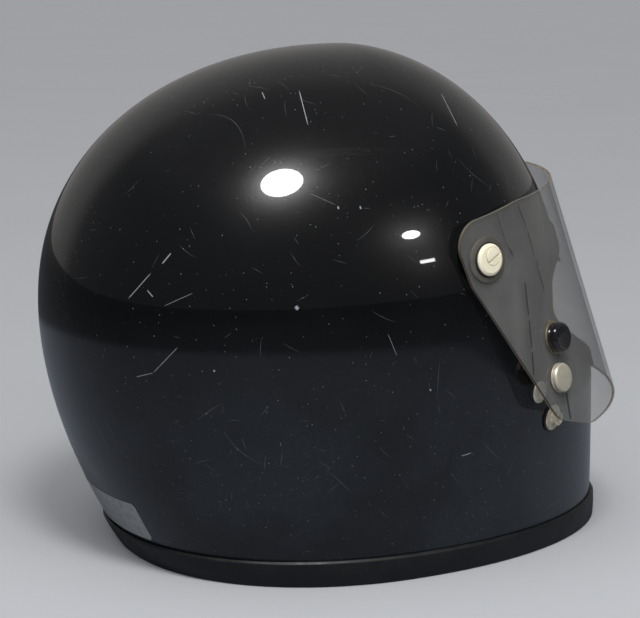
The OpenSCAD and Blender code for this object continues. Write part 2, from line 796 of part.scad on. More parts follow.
// Ruled sheet of the visor between offsets inner and outer, from s0 up to s1
module visor_sheet(inner, outer, s0, s1, steps = 72) {
    angles = [for (i = [0 : steps]) -90 + 180 * i / steps];
    points = concat(
        [for (a = angles) visor_pt(a, s0, outer)], [for (a = angles) visor_pt(a, s0, inner)],
        [for (a = angles) visor_pt(a, s1, outer)], [for (a = angles) visor_pt(a, s1, inner)]
    );
    n = steps + 1;
    sides = [for (i = [0 : steps - 1]) each [
        [i, 2 * n + i, i + 1], [i + 1, 2 * n + i, 2 * n + i + 1],
        [n + i, n + i + 1, 3 * n + i], [n + i + 1, 3 * n + i + 1, 3 * n + i],
        [i, i + 1, n + i], [i + 1, n + i + 1, n + i],
        [2 * n + i, 3 * n + i, 2 * n + i + 1], [2 * n + i + 1, 3 * n + i, 3 * n + i + 1]
    ]];
    ends = [
        [0, n, 2 * n], [n, 3 * n, 2 * n],
        [steps, 2 * n + steps, n + steps], [n + steps, 2 * n + steps, 3 * n + steps]
    ];
    polyhedron(points, concat(sides, ends), convexity = 6);
}

module visor() {
    half = visor_thick / 2;
    color([0.35, 0.36, 0.38, 0.45])
    difference() {
        in_visor()
            intersection() {
                visor_sheet(-half, half, -1.1 * visor_drop, 2 * visor_rise);
                rotate([90, 0, 0])
                    linear_extrude(2 * far, center = true)
                        polygon(rounded(visor_corners));
            }
        for (side = [-1, 1]) {
            on_pivot(side)
                cylinder(r = grommet_hole_r, h = far);
            on_visor(cap_place, side)
                cylinder(r = shank_r + bore_gap, h = 12, center = true);
            on_visor(knob_place, side)
                cylinder(r = shank_r + bore_gap, h = 12, center = true);
        }
    }
}

// Bush pressed into the visor's hole, its flange a wedge between the sheet and the screw's head
module pivot_grommet(side) {
    core_r = grommet_hole_r - 0.15;
    flange_foot = min(sheet_round(grommet_r));
    color("#141415")
    difference() {
        on_pivot(side)
            union() {
                translate([0, 0, flat_in + bore_gap])
                    cylinder(r = core_r, h = flat_out - flat_in - bore_gap);
                translate([0, 0, flange_foot])
                    cylinder(r = grommet_r, h = flat_out - flange_foot);
            }
        on_pivot(side)
            cylinder(r = screw_shoulder_r + hinge_gap, h = far);
        on_pivot(side)
            cylinder(r = core_r, h = flat_in + bore_gap);
        difference() {
            in_visor()
                visor_sheet(-2 * grommet_r, visor_thick / 2 + 0.05, -2 * grommet_r, 2 * grommet_r);
            on_pivot(side)
                cylinder(r = core_r, h = far);
        }
    }
}

shell();
impact_liner();
chin_liner();
comfort_liner();
cheek_pad(1);  // cheek_pad_left
cheek_pad(-1);  // cheek_pad_right
neck_roll();
neck_trim();
port_trim();
pivot_insert(1);  // pivot_insert_left
pivot_insert(-1);  // pivot_insert_right
pivot_spacer(1);  // pivot_spacer_left
pivot_spacer(-1);  // pivot_spacer_right
pivot_screw(1);  // pivot_screw_left
pivot_screw(-1);  // pivot_screw_right
stud_washer(1);  // stud_washer_left
stud_washer(-1);  // stud_washer_right
snap_stud(1);  // snap_stud_left
snap_stud(-1);  // snap_stud_right
strap_rivet(1);  // strap_rivet_left
strap_rivet(-1);  // strap_rivet_right
anchor_plate(1);  // anchor_plate_left
anchor_plate(-1);  // anchor_plate_right
ring_strap();
long_strap();
d_ring(1);  // d_ring_outer
d_ring(-1);  // d_ring_inner
visor();
pivot_grommet(1);  // pivot_grommet_left
pivot_grommet(-1);  // pivot_grommet_right
snap_cap(1);  // snap_cap_left
snap_cap(-1);  // snap_cap_right
snap_socket(1);  // snap_socket_left
snap_socket(-1);  // snap_socket_right
knob(1);  // knob_left
knob(-1);  // knob_right
knob_ring(1);  // knob_ring_left
knob_ring(-1);  // knob_ring_right
knob_backing(1);  // knob_backing_left
knob_backing(-1);  // knob_backing_right
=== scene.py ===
"""Full face helmet with a hinged smoke visor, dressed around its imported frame."""

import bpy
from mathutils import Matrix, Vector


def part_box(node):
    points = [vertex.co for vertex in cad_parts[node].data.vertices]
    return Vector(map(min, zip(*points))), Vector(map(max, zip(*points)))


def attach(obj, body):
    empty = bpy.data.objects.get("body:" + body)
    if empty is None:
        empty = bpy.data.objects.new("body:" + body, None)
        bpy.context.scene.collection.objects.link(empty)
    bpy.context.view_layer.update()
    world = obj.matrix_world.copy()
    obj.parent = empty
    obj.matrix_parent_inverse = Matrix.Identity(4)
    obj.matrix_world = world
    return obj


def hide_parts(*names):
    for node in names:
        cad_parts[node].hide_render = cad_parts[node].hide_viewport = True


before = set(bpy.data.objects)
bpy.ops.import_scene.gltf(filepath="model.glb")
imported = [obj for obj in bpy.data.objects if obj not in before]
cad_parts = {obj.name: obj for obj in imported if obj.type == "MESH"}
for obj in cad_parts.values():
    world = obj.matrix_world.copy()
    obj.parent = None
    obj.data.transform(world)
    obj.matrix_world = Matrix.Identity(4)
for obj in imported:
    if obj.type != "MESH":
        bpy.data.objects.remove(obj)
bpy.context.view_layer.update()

import logging
import math
from dataclasses import dataclass
from enum import Enum

import bmesh
import bpy
import numpy as np
from mathutils import Matrix, Vector

MM = 0.001
TO_MM = 1000.0
FAR = 300.0
HELMET = "helmet"
VISOR = "visor_assembly"
OUTER_RING = "outer_ring"
INNER_RING = "inner_ring"

log = logging.getLogger("helmet")


class Side(Enum):
    """Which side of the helmet a piece is on, as the sign of its Y."""

    LEFT = 1
    RIGHT = -1

    @property
    def word(self) -> str:
        """The side's name in lower case."""
        return self.name.lower()


def spow(value: float, power: float) -> float:
    """Power that keeps the sign of its value."""
    return math.copysign(abs(value) ** power, value)


def ease(t: float) -> float:
    """Smooth step from 0 to 1."""
    c = min(1.0, max(0.0, t))
    return c * c * (3 - 2 * c)


@dataclass(frozen=True)
class ShellForm:
    """The shell's surface, in millimetres: profiles over the height and a plan at each level."""

    height: float = 270.5
    widest_z: float = 134.0
    forehead: float = 122.0
    rear: float = 168.5
    half: float = 122.0
    chin_step: float = 22.5
    chin_blend: float = 45.0
    chin_flare: float = 9.5
    rear_tuck: float = 45.8
    side_tuck: float = 18.8
    widest_back: float = 8.5
    wall: float = 4.0
    foot: float = 3.0
    rise_rear: float = 2.15
    rise_front: float = 1.86
    rise_side: float = 2.08
    plan_front: float = 2.0
    plan_rear: float = 2.16

    def rise(self, z: float, d: float, power: float) -> float:
        """Share of its full size that a profile keeps at a height.

        Args:
            z: Height.
            d: Growth of the surface.
            power: Exponent of the profile.

        Returns:
            1 at the widest level and below, 0 at the crown.
        """
        t = (z - self.widest_z) / (self.height + d - self.widest_z)
        if t <= 0:
            return 1.0
        return 0.0 if t >= 1 else (1 - t ** power) ** (1 / power)

    def below(self, z: float) -> float:
        """Depth below the widest level, from 0 to 1."""
        return max(0.0, (self.widest_z - z) / self.widest_z)

    def front_x(self, z: float, d: float) -> float:
        """Front of the shell in the middle plane."""
        step = self.chin_step * ease((self.widest_z - z) / self.chin_blend)
        return (self.forehead + d) * self.rise(z, d, self.rise_front) + step + self.chin_flare * self.below(z)

    def rear_x(self, z: float, d: float) -> float:
        """Distance of the back behind the origin."""
        return (self.rear + d) * self.rise(z, d, self.rise_rear) - self.rear_tuck * self.below(z) ** 1.86

    def half_y(self, z: float, d: float) -> float:
        """Half the width at a height."""
        return (self.half + d) * self.rise(z, d, self.rise_side) - self.side_tuck * self.below(z) ** 2

    def mid_x(self, z: float) -> float:
        """Place of the widest plan point at a height."""
        return -self.widest_back * self.rise(z, 0, self.rise_rear)

    def point(self, angle: float, z: float, d: float) -> tuple[float, float, float]:
        """Point of the surface at a plan angle.

        Args:
            angle: Plan angle in radians, 0 at the front.
            z: Height.
            d: Growth of the surface.

        Returns:
            The point in millimetres.
        """
        m = self.mid_x(z)
        c, s = math.cos(angle), math.sin(angle)
        n = self.plan_front + (self.plan_rear - self.plan_front) * ease(0.5 - 0.5 * c)
        reach = self.front_x(z, d) - m if c > 0 else self.rear_x(z, d) + m
        return m + reach * spow(c, 2 / n), self.half_y(z, d) * spow(s, 2 / n), z

    def side_y(self, x: float, z: float, d: float = 0.0) -> float:
        """Half width at a place of the side view."""
        m = self.mid_x(z)
        n = self.plan_front if x > m else self.plan_rear
        reach = self.front_x(z, d) - m if x > m else self.rear_x(z, d) + m
        return self.half_y(z, d) * max(0.0, 1 - (abs(x - m) / reach) ** n) ** (1 / n)

    def face_x(self, y: float, z: float, d: float = 0.0) -> float:
        """Front of the surface at a place of the front view."""
        m = self.mid_x(z)
        share = max(0.0, 1 - (abs(y) / self.half_y(z, d)) ** self.plan_front)
        return m + (self.front_x(z, d) - m) * share ** (1 / self.plan_front)

    def outside(self, p: Vector) -> float:
        """Above 0 outside the shell and below 0 inside, for a place in millimetres."""
        if p.z >= self.height:
            return 1.0
        m = self.mid_x(p.z)
        n = self.plan_front if p.x > m else self.plan_rear
        reach = self.front_x(p.z, 0) - m if p.x > m else self.rear_x(p.z, 0) + m
        return (abs(p.x - m) / reach) ** n + (abs(p.y) / self.half_y(p.z, 0)) ** n - 1

    def side_normal(self, x: float, z: float) -> Vector:
        """Outward direction of the left side at a place of the side view."""
        h = 0.5
        dx = (self.side_y(x + h, z) - self.side_y(x - h, z)) / (2 * h)
        dz = (self.side_y(x, z + h) - self.side_y(x, z - h)) / (2 * h)
        return Vector((-dx, 1, -dz)).normalized()


@dataclass(frozen=True)
class PortForm:
    """Outline of the eye port in the front view, in millimetres."""

    half: float = 92.5
    top: float = 165.0
    low: float = 90.0
    side_rise: float = 26.0
    square: float = 3.2

    def limits(self, y: float, g: float) -> tuple[float, float]:
        """Lower and upper edge at a width, with the outline grown by g."""
        w = self.half + g
        return self.low - g + self.side_rise * (y / w) ** 2, self.top + g

    def yz(self, q: float, g: float) -> tuple[float, float]:
        """Point of the outline at an angle.

        Args:
            q: Angle round the outline, in radians.
            g: Growth of the outline.

        Returns:
            Y and Z of the point.
        """
        c, s = math.cos(q), math.sin(q)
        k = (abs(c) ** self.square + abs(s) ** self.square) ** (-1 / self.square)
        y = (self.half + g) * c * k
        low, top = self.limits(y, g)
        return y, (low + top) / 2 + (top - low) / 2 * s * k

    def reach(self, y: float, z: float, g: float) -> float:
        """Below 1 inside the outline grown by g, above 1 outside."""
        w = self.half + g
        if abs(y) >= w:
            return 2.0
        low, top = self.limits(y, g)
        across = abs(y / w) ** self.square
        return across + abs((2 * z - low - top) / (top - low)) ** self.square

    def angle_of(self, y: float, z: float) -> float:
        """Angle of the outline's spoke through a place."""
        low, top = self.limits(max(-self.half, min(self.half, y)), 0)
        return math.atan2((2 * z - low - top) / (top - low), y / self.half)


@dataclass(frozen=True)
class VisorForm:
    """The visor's ruled sheet in its own frame, in millimetres: f forward and s up from the pivot axis."""

    pivot_x: float = 22.0
    pivot_z: float = 169.0
    reach: float = 100.0
    half: float = 122.5
    thick: float = 2.0
    lean: float = math.radians(19.8)
    spread: float = 0.05
    drop: float = 127.0
    back: float = -18.0
    plan: float = 1.75
    nose: float = 0.15

    @property
    def corners(self) -> list[tuple[float, float, float]]:
        """Corners of the side outline, each with its radius."""
        front = self.reach + 8
        return [(-14.7, 24, 17), (34, 16.5, 60), (front, -5.5, 4), (front, -self.drop - 7, 4),
                (37, 11.5 - self.drop, 30), (12.5, -98, 16), (-13.6, -9, 14)]

    def _span(self) -> tuple[float, float]:
        """Constants that ease the nose of the plan."""
        low = self.nose ** self.plan
        return low, (1 + self.nose ** 2) ** (self.plan / 2) - low

    def point(self, f: float, s: float, d: float, side: float) -> tuple[float, float, float]:
        """Point of the sheet at a place of its side view, grown by d along its normal's plan part."""
        y = self.side_y(f, s)
        n = self.normal(f, s)
        return f + n.x * d, side * (y + n.y * d), s + n.z * d

    def side_y(self, f: float, s: float) -> float:
        """Half width of the sheet's middle at a place of its side view."""
        low, full = self._span()
        u = 1 - (min(1.0, max(0.0, (f - self.back) / (self.reach - self.back)))) ** self.plan
        inner = (u * full + low) ** (2 / self.plan) - self.nose ** 2
        return (self.half - self.spread * s) * math.sqrt(max(0.0, inner))

    def normal(self, f: float, s: float) -> Vector:
        """Outward direction of the left side at a place of its side view."""
        h = 0.25
        df = (self.side_y(f + h, s) - self.side_y(f - h, s)) / (2 * h)
        return Vector((-df, 1, self.spread)).normalized()

    def outside(self, p: Vector) -> float:
        """Above 0 outside the sheet and below 0 inside, for a place of the row frame in millimetres."""
        x, z = p.x - self.pivot_x, p.z - self.pivot_z
        c, k = math.cos(self.lean), math.sin(self.lean)
        f = x * c + z * k
        return 1.0 if f >= self.reach else abs(p.y) - self.side_y(f, z * c - x * k) - self.thick / 2

    def rise_at(self, x: float, y: float) -> float:
        """Height of the sheet over its tangent plane at the pivot, x down and y rearward in that plane."""
        here = turn_to(Vector((0, self.side_y(0, 0), 0)), self.normal(0, 0))
        z = 0.0
        for _ in range(4):
            p = here @ Vector((x, y, z)) / MM
            z -= (p.y - self.side_y(p.x, p.z)) * self.normal(0, 0).y
        return z

    def to_world(self, p: tuple[float, float, float]) -> Vector:
        """Point of the visor's own frame in the row frame, both in millimetres."""
        f, y, s = p
        c, k = math.cos(self.lean), math.sin(self.lean)
        return Vector((self.pivot_x + f * c - s * k, y, self.pivot_z + f * k + s * c))


SHELL = ShellForm()
PORT = PortForm()
SHEET = VisorForm()
STUD_PLACE = (75.5, 77.0)
RIVET_PLACE = (64.0, 93.0)
CAP_PLACE = (21.9, -79.0)
KNOB_PLACE = (28.0, -59.2)


@dataclass(frozen=True)
class Viewpoint:
    """The photograph's camera, in metres, and the size of its picture."""

    place: tuple = (-0.5313, -1.0518, 0.3569)
    target: tuple = (0.0, 0.0, 0.130)
    roll: float = math.radians(0.39)
    lens: float = 121.84
    sensor: float = 36.0
    shift: tuple = (-0.032, -0.017)
    picture: tuple = (640, 618)

    @property
    def matrix(self) -> Matrix:
        """The camera's frame."""
        way = Vector(self.target) - Vector(self.place)
        turn = way.to_track_quat("-Z", "Y").to_matrix().to_4x4()
        return Matrix.Translation(self.place) @ turn @ Matrix.Rotation(self.roll, 4, "Z")

    def ray(self, u: float, v: float) -> Vector:
        """Direction of a place of the picture, counted from its upper left corner."""
        wide, tall = self.picture
        x = (u / wide - 0.5 + self.shift[0]) * self.sensor / self.lens
        y = (0.5 * tall / wide - v / wide + self.shift[1]) * self.sensor / self.lens
        return (self.matrix.to_3x3() @ Vector((x, y, -1))).normalized()

    def meet(self, form: ShellForm | VisorForm, u: float, v: float) -> Vector:
        """Where a form's surface shows in the picture.

        Args:
            form: The shell or the sheet.
            u: Place across the picture.
            v: Place down the picture.

        Returns:
            The nearest point of the surface behind that place, in metres.
        """
        way, near, step = self.ray(u, v), 0.9, 0.002

        def free(run: float) -> bool:
            return form.outside((Vector(self.place) + way * run) / MM) > 0

        while free(near + step) and near < 1.6:
            near += step
        for _ in range(10):
            step /= 2
            if free(near + step):
                near += step
        return Vector(self.place) + way * near


VIEW = Viewpoint()


@dataclass(frozen=True)
class Mark:
    """A scratch or crack that shows between two places of the picture."""

    start: tuple[float, float]
    end: tuple[float, float]
    width: float = 0.25
    depth: float = 0.8

    def inputs(self, form: ShellForm | VisorForm) -> dict:
        """Values of the mark's node group on a form, in metres."""
        a, b = (VIEW.meet(form, *place) for place in (self.start, self.end))
        across = (b - a).cross((a + b) / 2 - Vector(VIEW.place)).normalized()
        return {"From": a, "To": b, "Across": across, "Width": self.width * MM, "Depth": self.depth}


def chain(places: list[tuple[float, float]], width: float, depth: float) -> tuple[Mark, ...]:
    """Marks that follow one another through places of the picture."""
    return tuple(Mark(a, b, width, depth) for a, b in zip(places, places[1:]))


def turn_to(origin: Vector, normal: Vector) -> Matrix:
    """Frame whose own +Z points along a normal.

    Args:
        origin: Place of the frame, in millimetres.
        normal: Direction of its +Z.

    Returns:
        A matrix from that frame, in millimetres, to the row frame in metres.
    """
    tilt = Matrix.Rotation(math.acos(max(-1.0, min(1.0, normal.z))), 4, "Y")
    turn = Matrix.Rotation(math.atan2(normal.y, normal.x), 4, "Z")
    return Matrix.Scale(MM, 4) @ Matrix.Translation(origin) @ turn @ tilt


def on_side(matrix: Matrix, side: Side) -> Matrix:
    """The frame itself on the left, mirrored in the middle plane on the right."""
    return matrix if side is Side.LEFT else Matrix.Diagonal((1, -1, 1, 1)) @ matrix


def shell_frame(place: tuple[float, float], side: Side) -> Matrix:
    """Frame on the shell's side, its +Z pointing out."""
    x, z = place
    origin = Vector((x, SHELL.side_y(x, z), z))
    return on_side(turn_to(origin, SHELL.side_normal(x, z)), side)


def visor_frame(place: tuple[float, float], side: Side) -> Matrix:
    """Frame on the middle of the visor sheet, its +Z pointing out."""
    f, s = place
    lean = Matrix.Translation((SHEET.pivot_x, 0, SHEET.pivot_z)) @ Matrix.Rotation(-SHEET.lean, 4, "Y")
    local = turn_to(Vector((f, SHEET.side_y(f, s), s)), SHEET.normal(f, s))
    return on_side(Matrix.Scale(MM, 4) @ lean @ Matrix.Scale(1 / MM, 4) @ local, side)


def pivot_frame(side: Side) -> Matrix:
    """Frame on the pivot axis, its +Z pointing out of that side."""
    base = Matrix.Translation((SHEET.pivot_x, 0, SHEET.pivot_z)) @ Matrix.Rotation(-math.pi / 2, 4, "X")
    return on_side(Matrix.Scale(MM, 4) @ base, side)


class Nodes:
    """Short names for building a node tree from left to right."""

    def __init__(self, tree: bpy.types.NodeTree) -> None:
        """Keeps the tree that nodes are added to."""
        self.tree = tree

    def add(self, kind: str, inputs: dict | None = None, **settings) -> bpy.types.Node:
        """Adds a node.

        Args:
            kind: Node type, such as ShaderNodeMath.
            inputs: Values or sockets by input name or index.
            settings: Properties of the node.

        Returns:
            The node.
        """
        node = self.tree.nodes.new(kind)
        for name, value in settings.items():
            setattr(node, name, value)
        self.feed(node, inputs or {})
        return node

    def feed(self, node: bpy.types.Node, inputs: dict) -> None:
        """Sets or links a node's inputs, by name or index."""
        for key, value in inputs.items():
            socket = node.inputs[key]
            if isinstance(value, bpy.types.NodeSocket):
                self.tree.links.new(value, socket)
            else:
                socket.default_value = value

    def math(self, operation: str, a, b=0.0, clamp: bool = False) -> bpy.types.NodeSocket:
        """Result of one arithmetic step."""
        return self.add("ShaderNodeMath", {0: a, 1: b}, operation=operation, use_clamp=clamp).outputs[0]

    def plus(self, a, b, clamp: bool = False) -> bpy.types.NodeSocket:
        """Sum of a and b."""
        return self.math("ADD", a, b, clamp)

    def minus(self, a, b, clamp: bool = False) -> bpy.types.NodeSocket:
        """Difference of a and b."""
        return self.math("SUBTRACT", a, b, clamp)

    def times(self, a, b, clamp: bool = False) -> bpy.types.NodeSocket:
        """Product of a and b."""
        return self.math("MULTIPLY", a, b, clamp)

    def divide(self, a, b) -> bpy.types.NodeSocket:
        """Quotient of a and b."""
        return self.math("DIVIDE", a, b)

    def vector(self, operation: str, a, b=None) -> bpy.types.NodeSocket:
        """Result of one vector step: a number for a dot product, distance or length, otherwise a vector."""
        inputs = {0: a} if b is None else {0: a, "Scale" if operation == "SCALE" else 1: b}
        step = self.add("ShaderNodeVectorMath", inputs, operation=operation)
        return step.outputs["Value" if operation in ("DOT_PRODUCT", "DISTANCE", "LENGTH") else "Vector"]

    def axes(self, vector) -> bpy.types.bpy_prop_collection:
        """The three parts of a vector."""
        return self.add("ShaderNodeSeparateXYZ", {0: vector}).outputs

    def combined(self, x, y, z=0.0) -> bpy.types.NodeSocket:
        """A vector of three parts."""
        return self.add("ShaderNodeCombineXYZ", {0: x, 1: y, 2: z}).outputs[0]

    def turned(self, vector, axis: str, angle) -> bpy.types.NodeSocket:
        """A vector turned about one axis."""
        inputs = {"Vector": vector, "Angle": angle}
        return self.add("ShaderNodeVectorRotate", inputs, rotation_type=axis).outputs[0]

    def choose(self, factor, a, b) -> bpy.types.NodeSocket:
        """Vector between a and b."""
        return self.add("ShaderNodeMix", {0: factor, 4: a, 5: b}, data_type="VECTOR").outputs[1]

    def group(self, tree: bpy.types.NodeTree, inputs: dict) -> bpy.types.Node:
        """Places a node group."""
        return self.add("ShaderNodeGroup", inputs, node_tree=tree)

    def ramp(self, value, low: float, high: float, to_low: float = 0.0, to_high: float = 1.0):
        """Smooth step of a value from low to high, between two results."""
        node = self.add("ShaderNodeMapRange", {0: value, 1: low, 2: high, 3: to_low, 4: to_high})
        node.interpolation_type = "SMOOTHSTEP"
        return node.outputs[0]

    def mix(self, factor, a, b) -> bpy.types.NodeSocket:
        """Colour between a and b."""
        return self.add("ShaderNodeMix", {0: factor, 6: a, 7: b}, data_type="RGBA").outputs[2]

    def noise(self, vector, scale: float, detail: float = 3.0, rough: float = 0.5) -> bpy.types.NodeSocket:
        """Value of a noise texture."""
        return self.add("ShaderNodeTexNoise", {"Vector": vector, "Scale": scale, "Detail": detail,
                                               "Roughness": rough}).outputs[0]


def new_group(name: str, inputs: dict[str, tuple[str, object]], outputs: dict[str, str]) -> tuple:
    """Starts a shader node group with named sockets.

    Args:
        name: Name of the group.
        inputs: Socket type and default value by name.
        outputs: Socket type by name.

    Returns:
        The group, its node builder, the sockets that it is given and its output node.
    """
    group = bpy.data.node_groups.new(name, "ShaderNodeTree")
    for label, (kind, value) in inputs.items():
        socket = group.interface.new_socket(name=label, in_out="INPUT", socket_type=kind)
        if value is not None:
            socket.default_value = value
    for label, kind in outputs.items():
        group.interface.new_socket(name=label, in_out="OUTPUT", socket_type=kind)
    build = Nodes(group)
    return group, build, build.add("NodeGroupInput").outputs, build.add("NodeGroupOutput")


FLOAT = "NodeSocketFloat"
VECTOR = "NodeSocketVector"


def scratch_group() -> bpy.types.NodeTree:
    """Straight scratches of random place, length and direction on a flat map.

    Returns:
        A group that turns a map in millimetres into a mask of scratches.
    """
    group, n, given, end = new_group(
        "scratches",
        {"Map": (VECTOR, None), "Spacing": (FLOAT, 20.0), "Length": (FLOAT, 6.0), "Width": (FLOAT, 0.2),
         "Share": (FLOAT, 0.5), "Seed": (FLOAT, 0.0)},
        {"Mask": FLOAT},
    )
    shift = n.combined(given["Seed"], given["Seed"])
    moved = n.vector("ADD", given["Map"], shift)
    rate = n.divide(1.0, given["Spacing"])
    cells = n.add("ShaderNodeTexVoronoi", {"Vector": moved, "Scale": rate}, voronoi_dimensions="2D")
    local = n.vector("SUBTRACT", moved, n.vector("MULTIPLY", cells.outputs["Position"], (1.0, 1.0, 0.0)))
    chance = n.add("ShaderNodeSeparateColor", {0: cells.outputs["Color"]}).outputs
    angle = n.times(chance[0], math.tau)
    axes = n.axes(n.turned(local, "Z_AXIS", angle))
    bow = n.times(n.times(axes[0], axes[0]), n.times(n.minus(chance[1], 0.5), 0.05))
    across = n.math("ABSOLUTE", n.plus(axes[1], bow))
    along = n.math("ABSOLUTE", axes[0])
    length = n.times(given["Length"], n.plus(chance[1], 0.25))
    fade = n.minus(1.0, n.divide(along, length), clamp=True)
    width = n.times(given["Width"], n.math("POWER", fade, 0.5))
    line = n.minus(1.0, n.divide(across, n.plus(width, 0.001)), clamp=True)
    kept = n.math("LESS_THAN", chance[2], given["Share"])
    n.feed(end, {0: n.times(n.times(line, kept), n.math("POWER", fade, 0.4))})
    return group


def mark_group() -> bpy.types.NodeTree:
    """One straight mark between two points on a surface.

    Returns:
        A group that turns a position into the mark's mask.
    """
    group, n, given, end = new_group(
        "mark",
        {"Position": (VECTOR, None), "From": (VECTOR, None), "To": (VECTOR, None), "Across": (VECTOR, None),
         "Width": (FLOAT, 0.0003), "Depth": (FLOAT, 1.0)},
        {"Mask": FLOAT},
    )
    run = n.vector("SUBTRACT", given["To"], given["From"])
    here = n.vector("SUBTRACT", given["Position"], given["From"])
    dot = n.vector("DOT_PRODUCT", here, run)
    square = n.vector("DOT_PRODUCT", run, run)
    t = n.divide(dot, square)
    tips = n.times(n.ramp(t, -0.02, 0.12), n.ramp(t, 0.88, 1.02, 1.0, 0.0))
    foot = n.vector("SCALE", run, t)
    gap = n.vector("DISTANCE", here, foot)
    side = n.vector("DOT_PRODUCT", here, given["Across"])
    ragged = n.noise(given["Position"], 700.0, 2.0)
    width = n.times(given["Width"], n.plus(ragged, 0.5))
    line = n.minus(1.0, n.divide(n.math("ABSOLUTE", side), width), clamp=True)
    near = n.math("LESS_THAN", gap, 0.015)
    mask = n.times(n.times(line, tips), n.times(near, given["Depth"]))
    n.feed(end, {0: mask})
    return group


def wear_group() -> bpy.types.NodeTree:
    """Uneven film of dust and rubbing over a surface.

    Returns:
        A group that turns a position into soft patches and fine specks.
    """
    group, n, given, end = new_group(
        "film",
        {"Position": (VECTOR, None), "Patch": (FLOAT, 14.0), "Speck": (FLOAT, 420.0)},
        {"Patches": FLOAT, "Specks": FLOAT},
    )
    broad = n.noise(given["Position"], given["Patch"], 4.0, 0.6)
    cells = n.add("ShaderNodeTexVoronoi", {"Vector": given["Position"], "Scale": given["Speck"]})
    size = n.times(n.add("ShaderNodeSeparateColor", {0: cells.outputs["Color"]}).outputs[0], 0.2)
    dot = n.math("LESS_THAN", cells.outputs["Distance"], n.minus(size, 0.08))
    n.feed(end, {0: n.ramp(broad, 0.38, 0.68)})
    n.feed(end, {1: dot})
    return group


def weave_group() -> bpy.types.NodeTree:
    """Plain weave of two sets of threads on a flat map.

    Returns:
        A group that turns a map in millimetres into thread height.
    """
    group, n, given, end = new_group(
        "weave", {"Map": (VECTOR, None), "Pitch": (FLOAT, 1.0)}, {"Height": FLOAT})
    axes = n.axes(given["Map"])
    rate = n.divide(math.pi, given["Pitch"])
    u = n.math("SINE", n.times(axes[0], rate))
    v = n.math("SINE", n.times(axes[1], rate))
    over = n.math("GREATER_THAN", n.times(u, v), 0.0)
    first = n.math("ABSOLUTE", u)
    second = n.math("ABSOLUTE", v)
    mixed = n.plus(n.times(over, first), n.times(n.minus(1.0, over), second))
    n.feed(end, {0: mixed})
    return group


def grain_group() -> bpy.types.NodeTree:
    """Fine pebble grain of moulded plastic, rubber and vinyl.

    Returns:
        A group that turns a position into height.
    """
    group, n, given, end = new_group(
        "grain", {"Position": (VECTOR, None), "Scale": (FLOAT, 900.0)}, {"Height": FLOAT})
    cells = n.add("ShaderNodeTexVoronoi", {"Vector": given["Position"], "Scale": given["Scale"]},
                  feature="SMOOTH_F1")
    soft = n.noise(given["Position"], n.times(given["Scale"], 0.3), 3.0)
    n.feed(end, {0: n.plus(cells.outputs["Distance"], soft)})
    return group


class Effects:
    """The shared node groups, built once."""

    def __init__(self) -> None:
        """Builds every group."""
        self.scratches = scratch_group()
        self.mark = mark_group()
        self.film = wear_group()
        self.weave = weave_group()
        self.grain = grain_group()


@dataclass(frozen=True)
class Scratches:
    """A set of scratches on a flat map: cell size, length and width in millimetres, and share of cells."""

    spacing: float
    length: float
    width: float
    share: float
    seed: float = 0.0

    def mask(self, n: Nodes, fx: Effects, flat: bpy.types.NodeSocket) -> bpy.types.NodeSocket:
        """Mask of the scratches on a map in millimetres."""
        return n.group(fx.scratches, {
            "Map": flat, "Spacing": self.spacing, "Length": self.length, "Width": self.width,
            "Share": self.share, "Seed": self.seed}).outputs[0]


@dataclass(frozen=True)
class Finish:
    """A material's name and the record's slot that it stands for."""

    name: str
    slot: str

    def begin(self) -> tuple[bpy.types.Material, Nodes, bpy.types.Node, bpy.types.NodeSocket]:
        """Starts the material.

        Returns:
            The material, its node builder, its shader and the surface position in metres.
        """
        material = bpy.data.materials.new(self.name)
        material.use_nodes = True
        n = Nodes(material.node_tree)
        here = n.add("ShaderNodeTexCoord").outputs["Object"]
        return material, n, material.node_tree.nodes["Principled BSDF"], here

    @staticmethod
    def raise_by(n: Nodes, shader: bpy.types.Node, height: bpy.types.NodeSocket, distance: float,
                 strength: float) -> None:
        """Feeds the shader's normal from a height."""
        bump = n.add("ShaderNodeBump", {"Height": height, "Distance": distance, "Strength": strength})
        n.feed(shader, {"Normal": bump.outputs[0]})


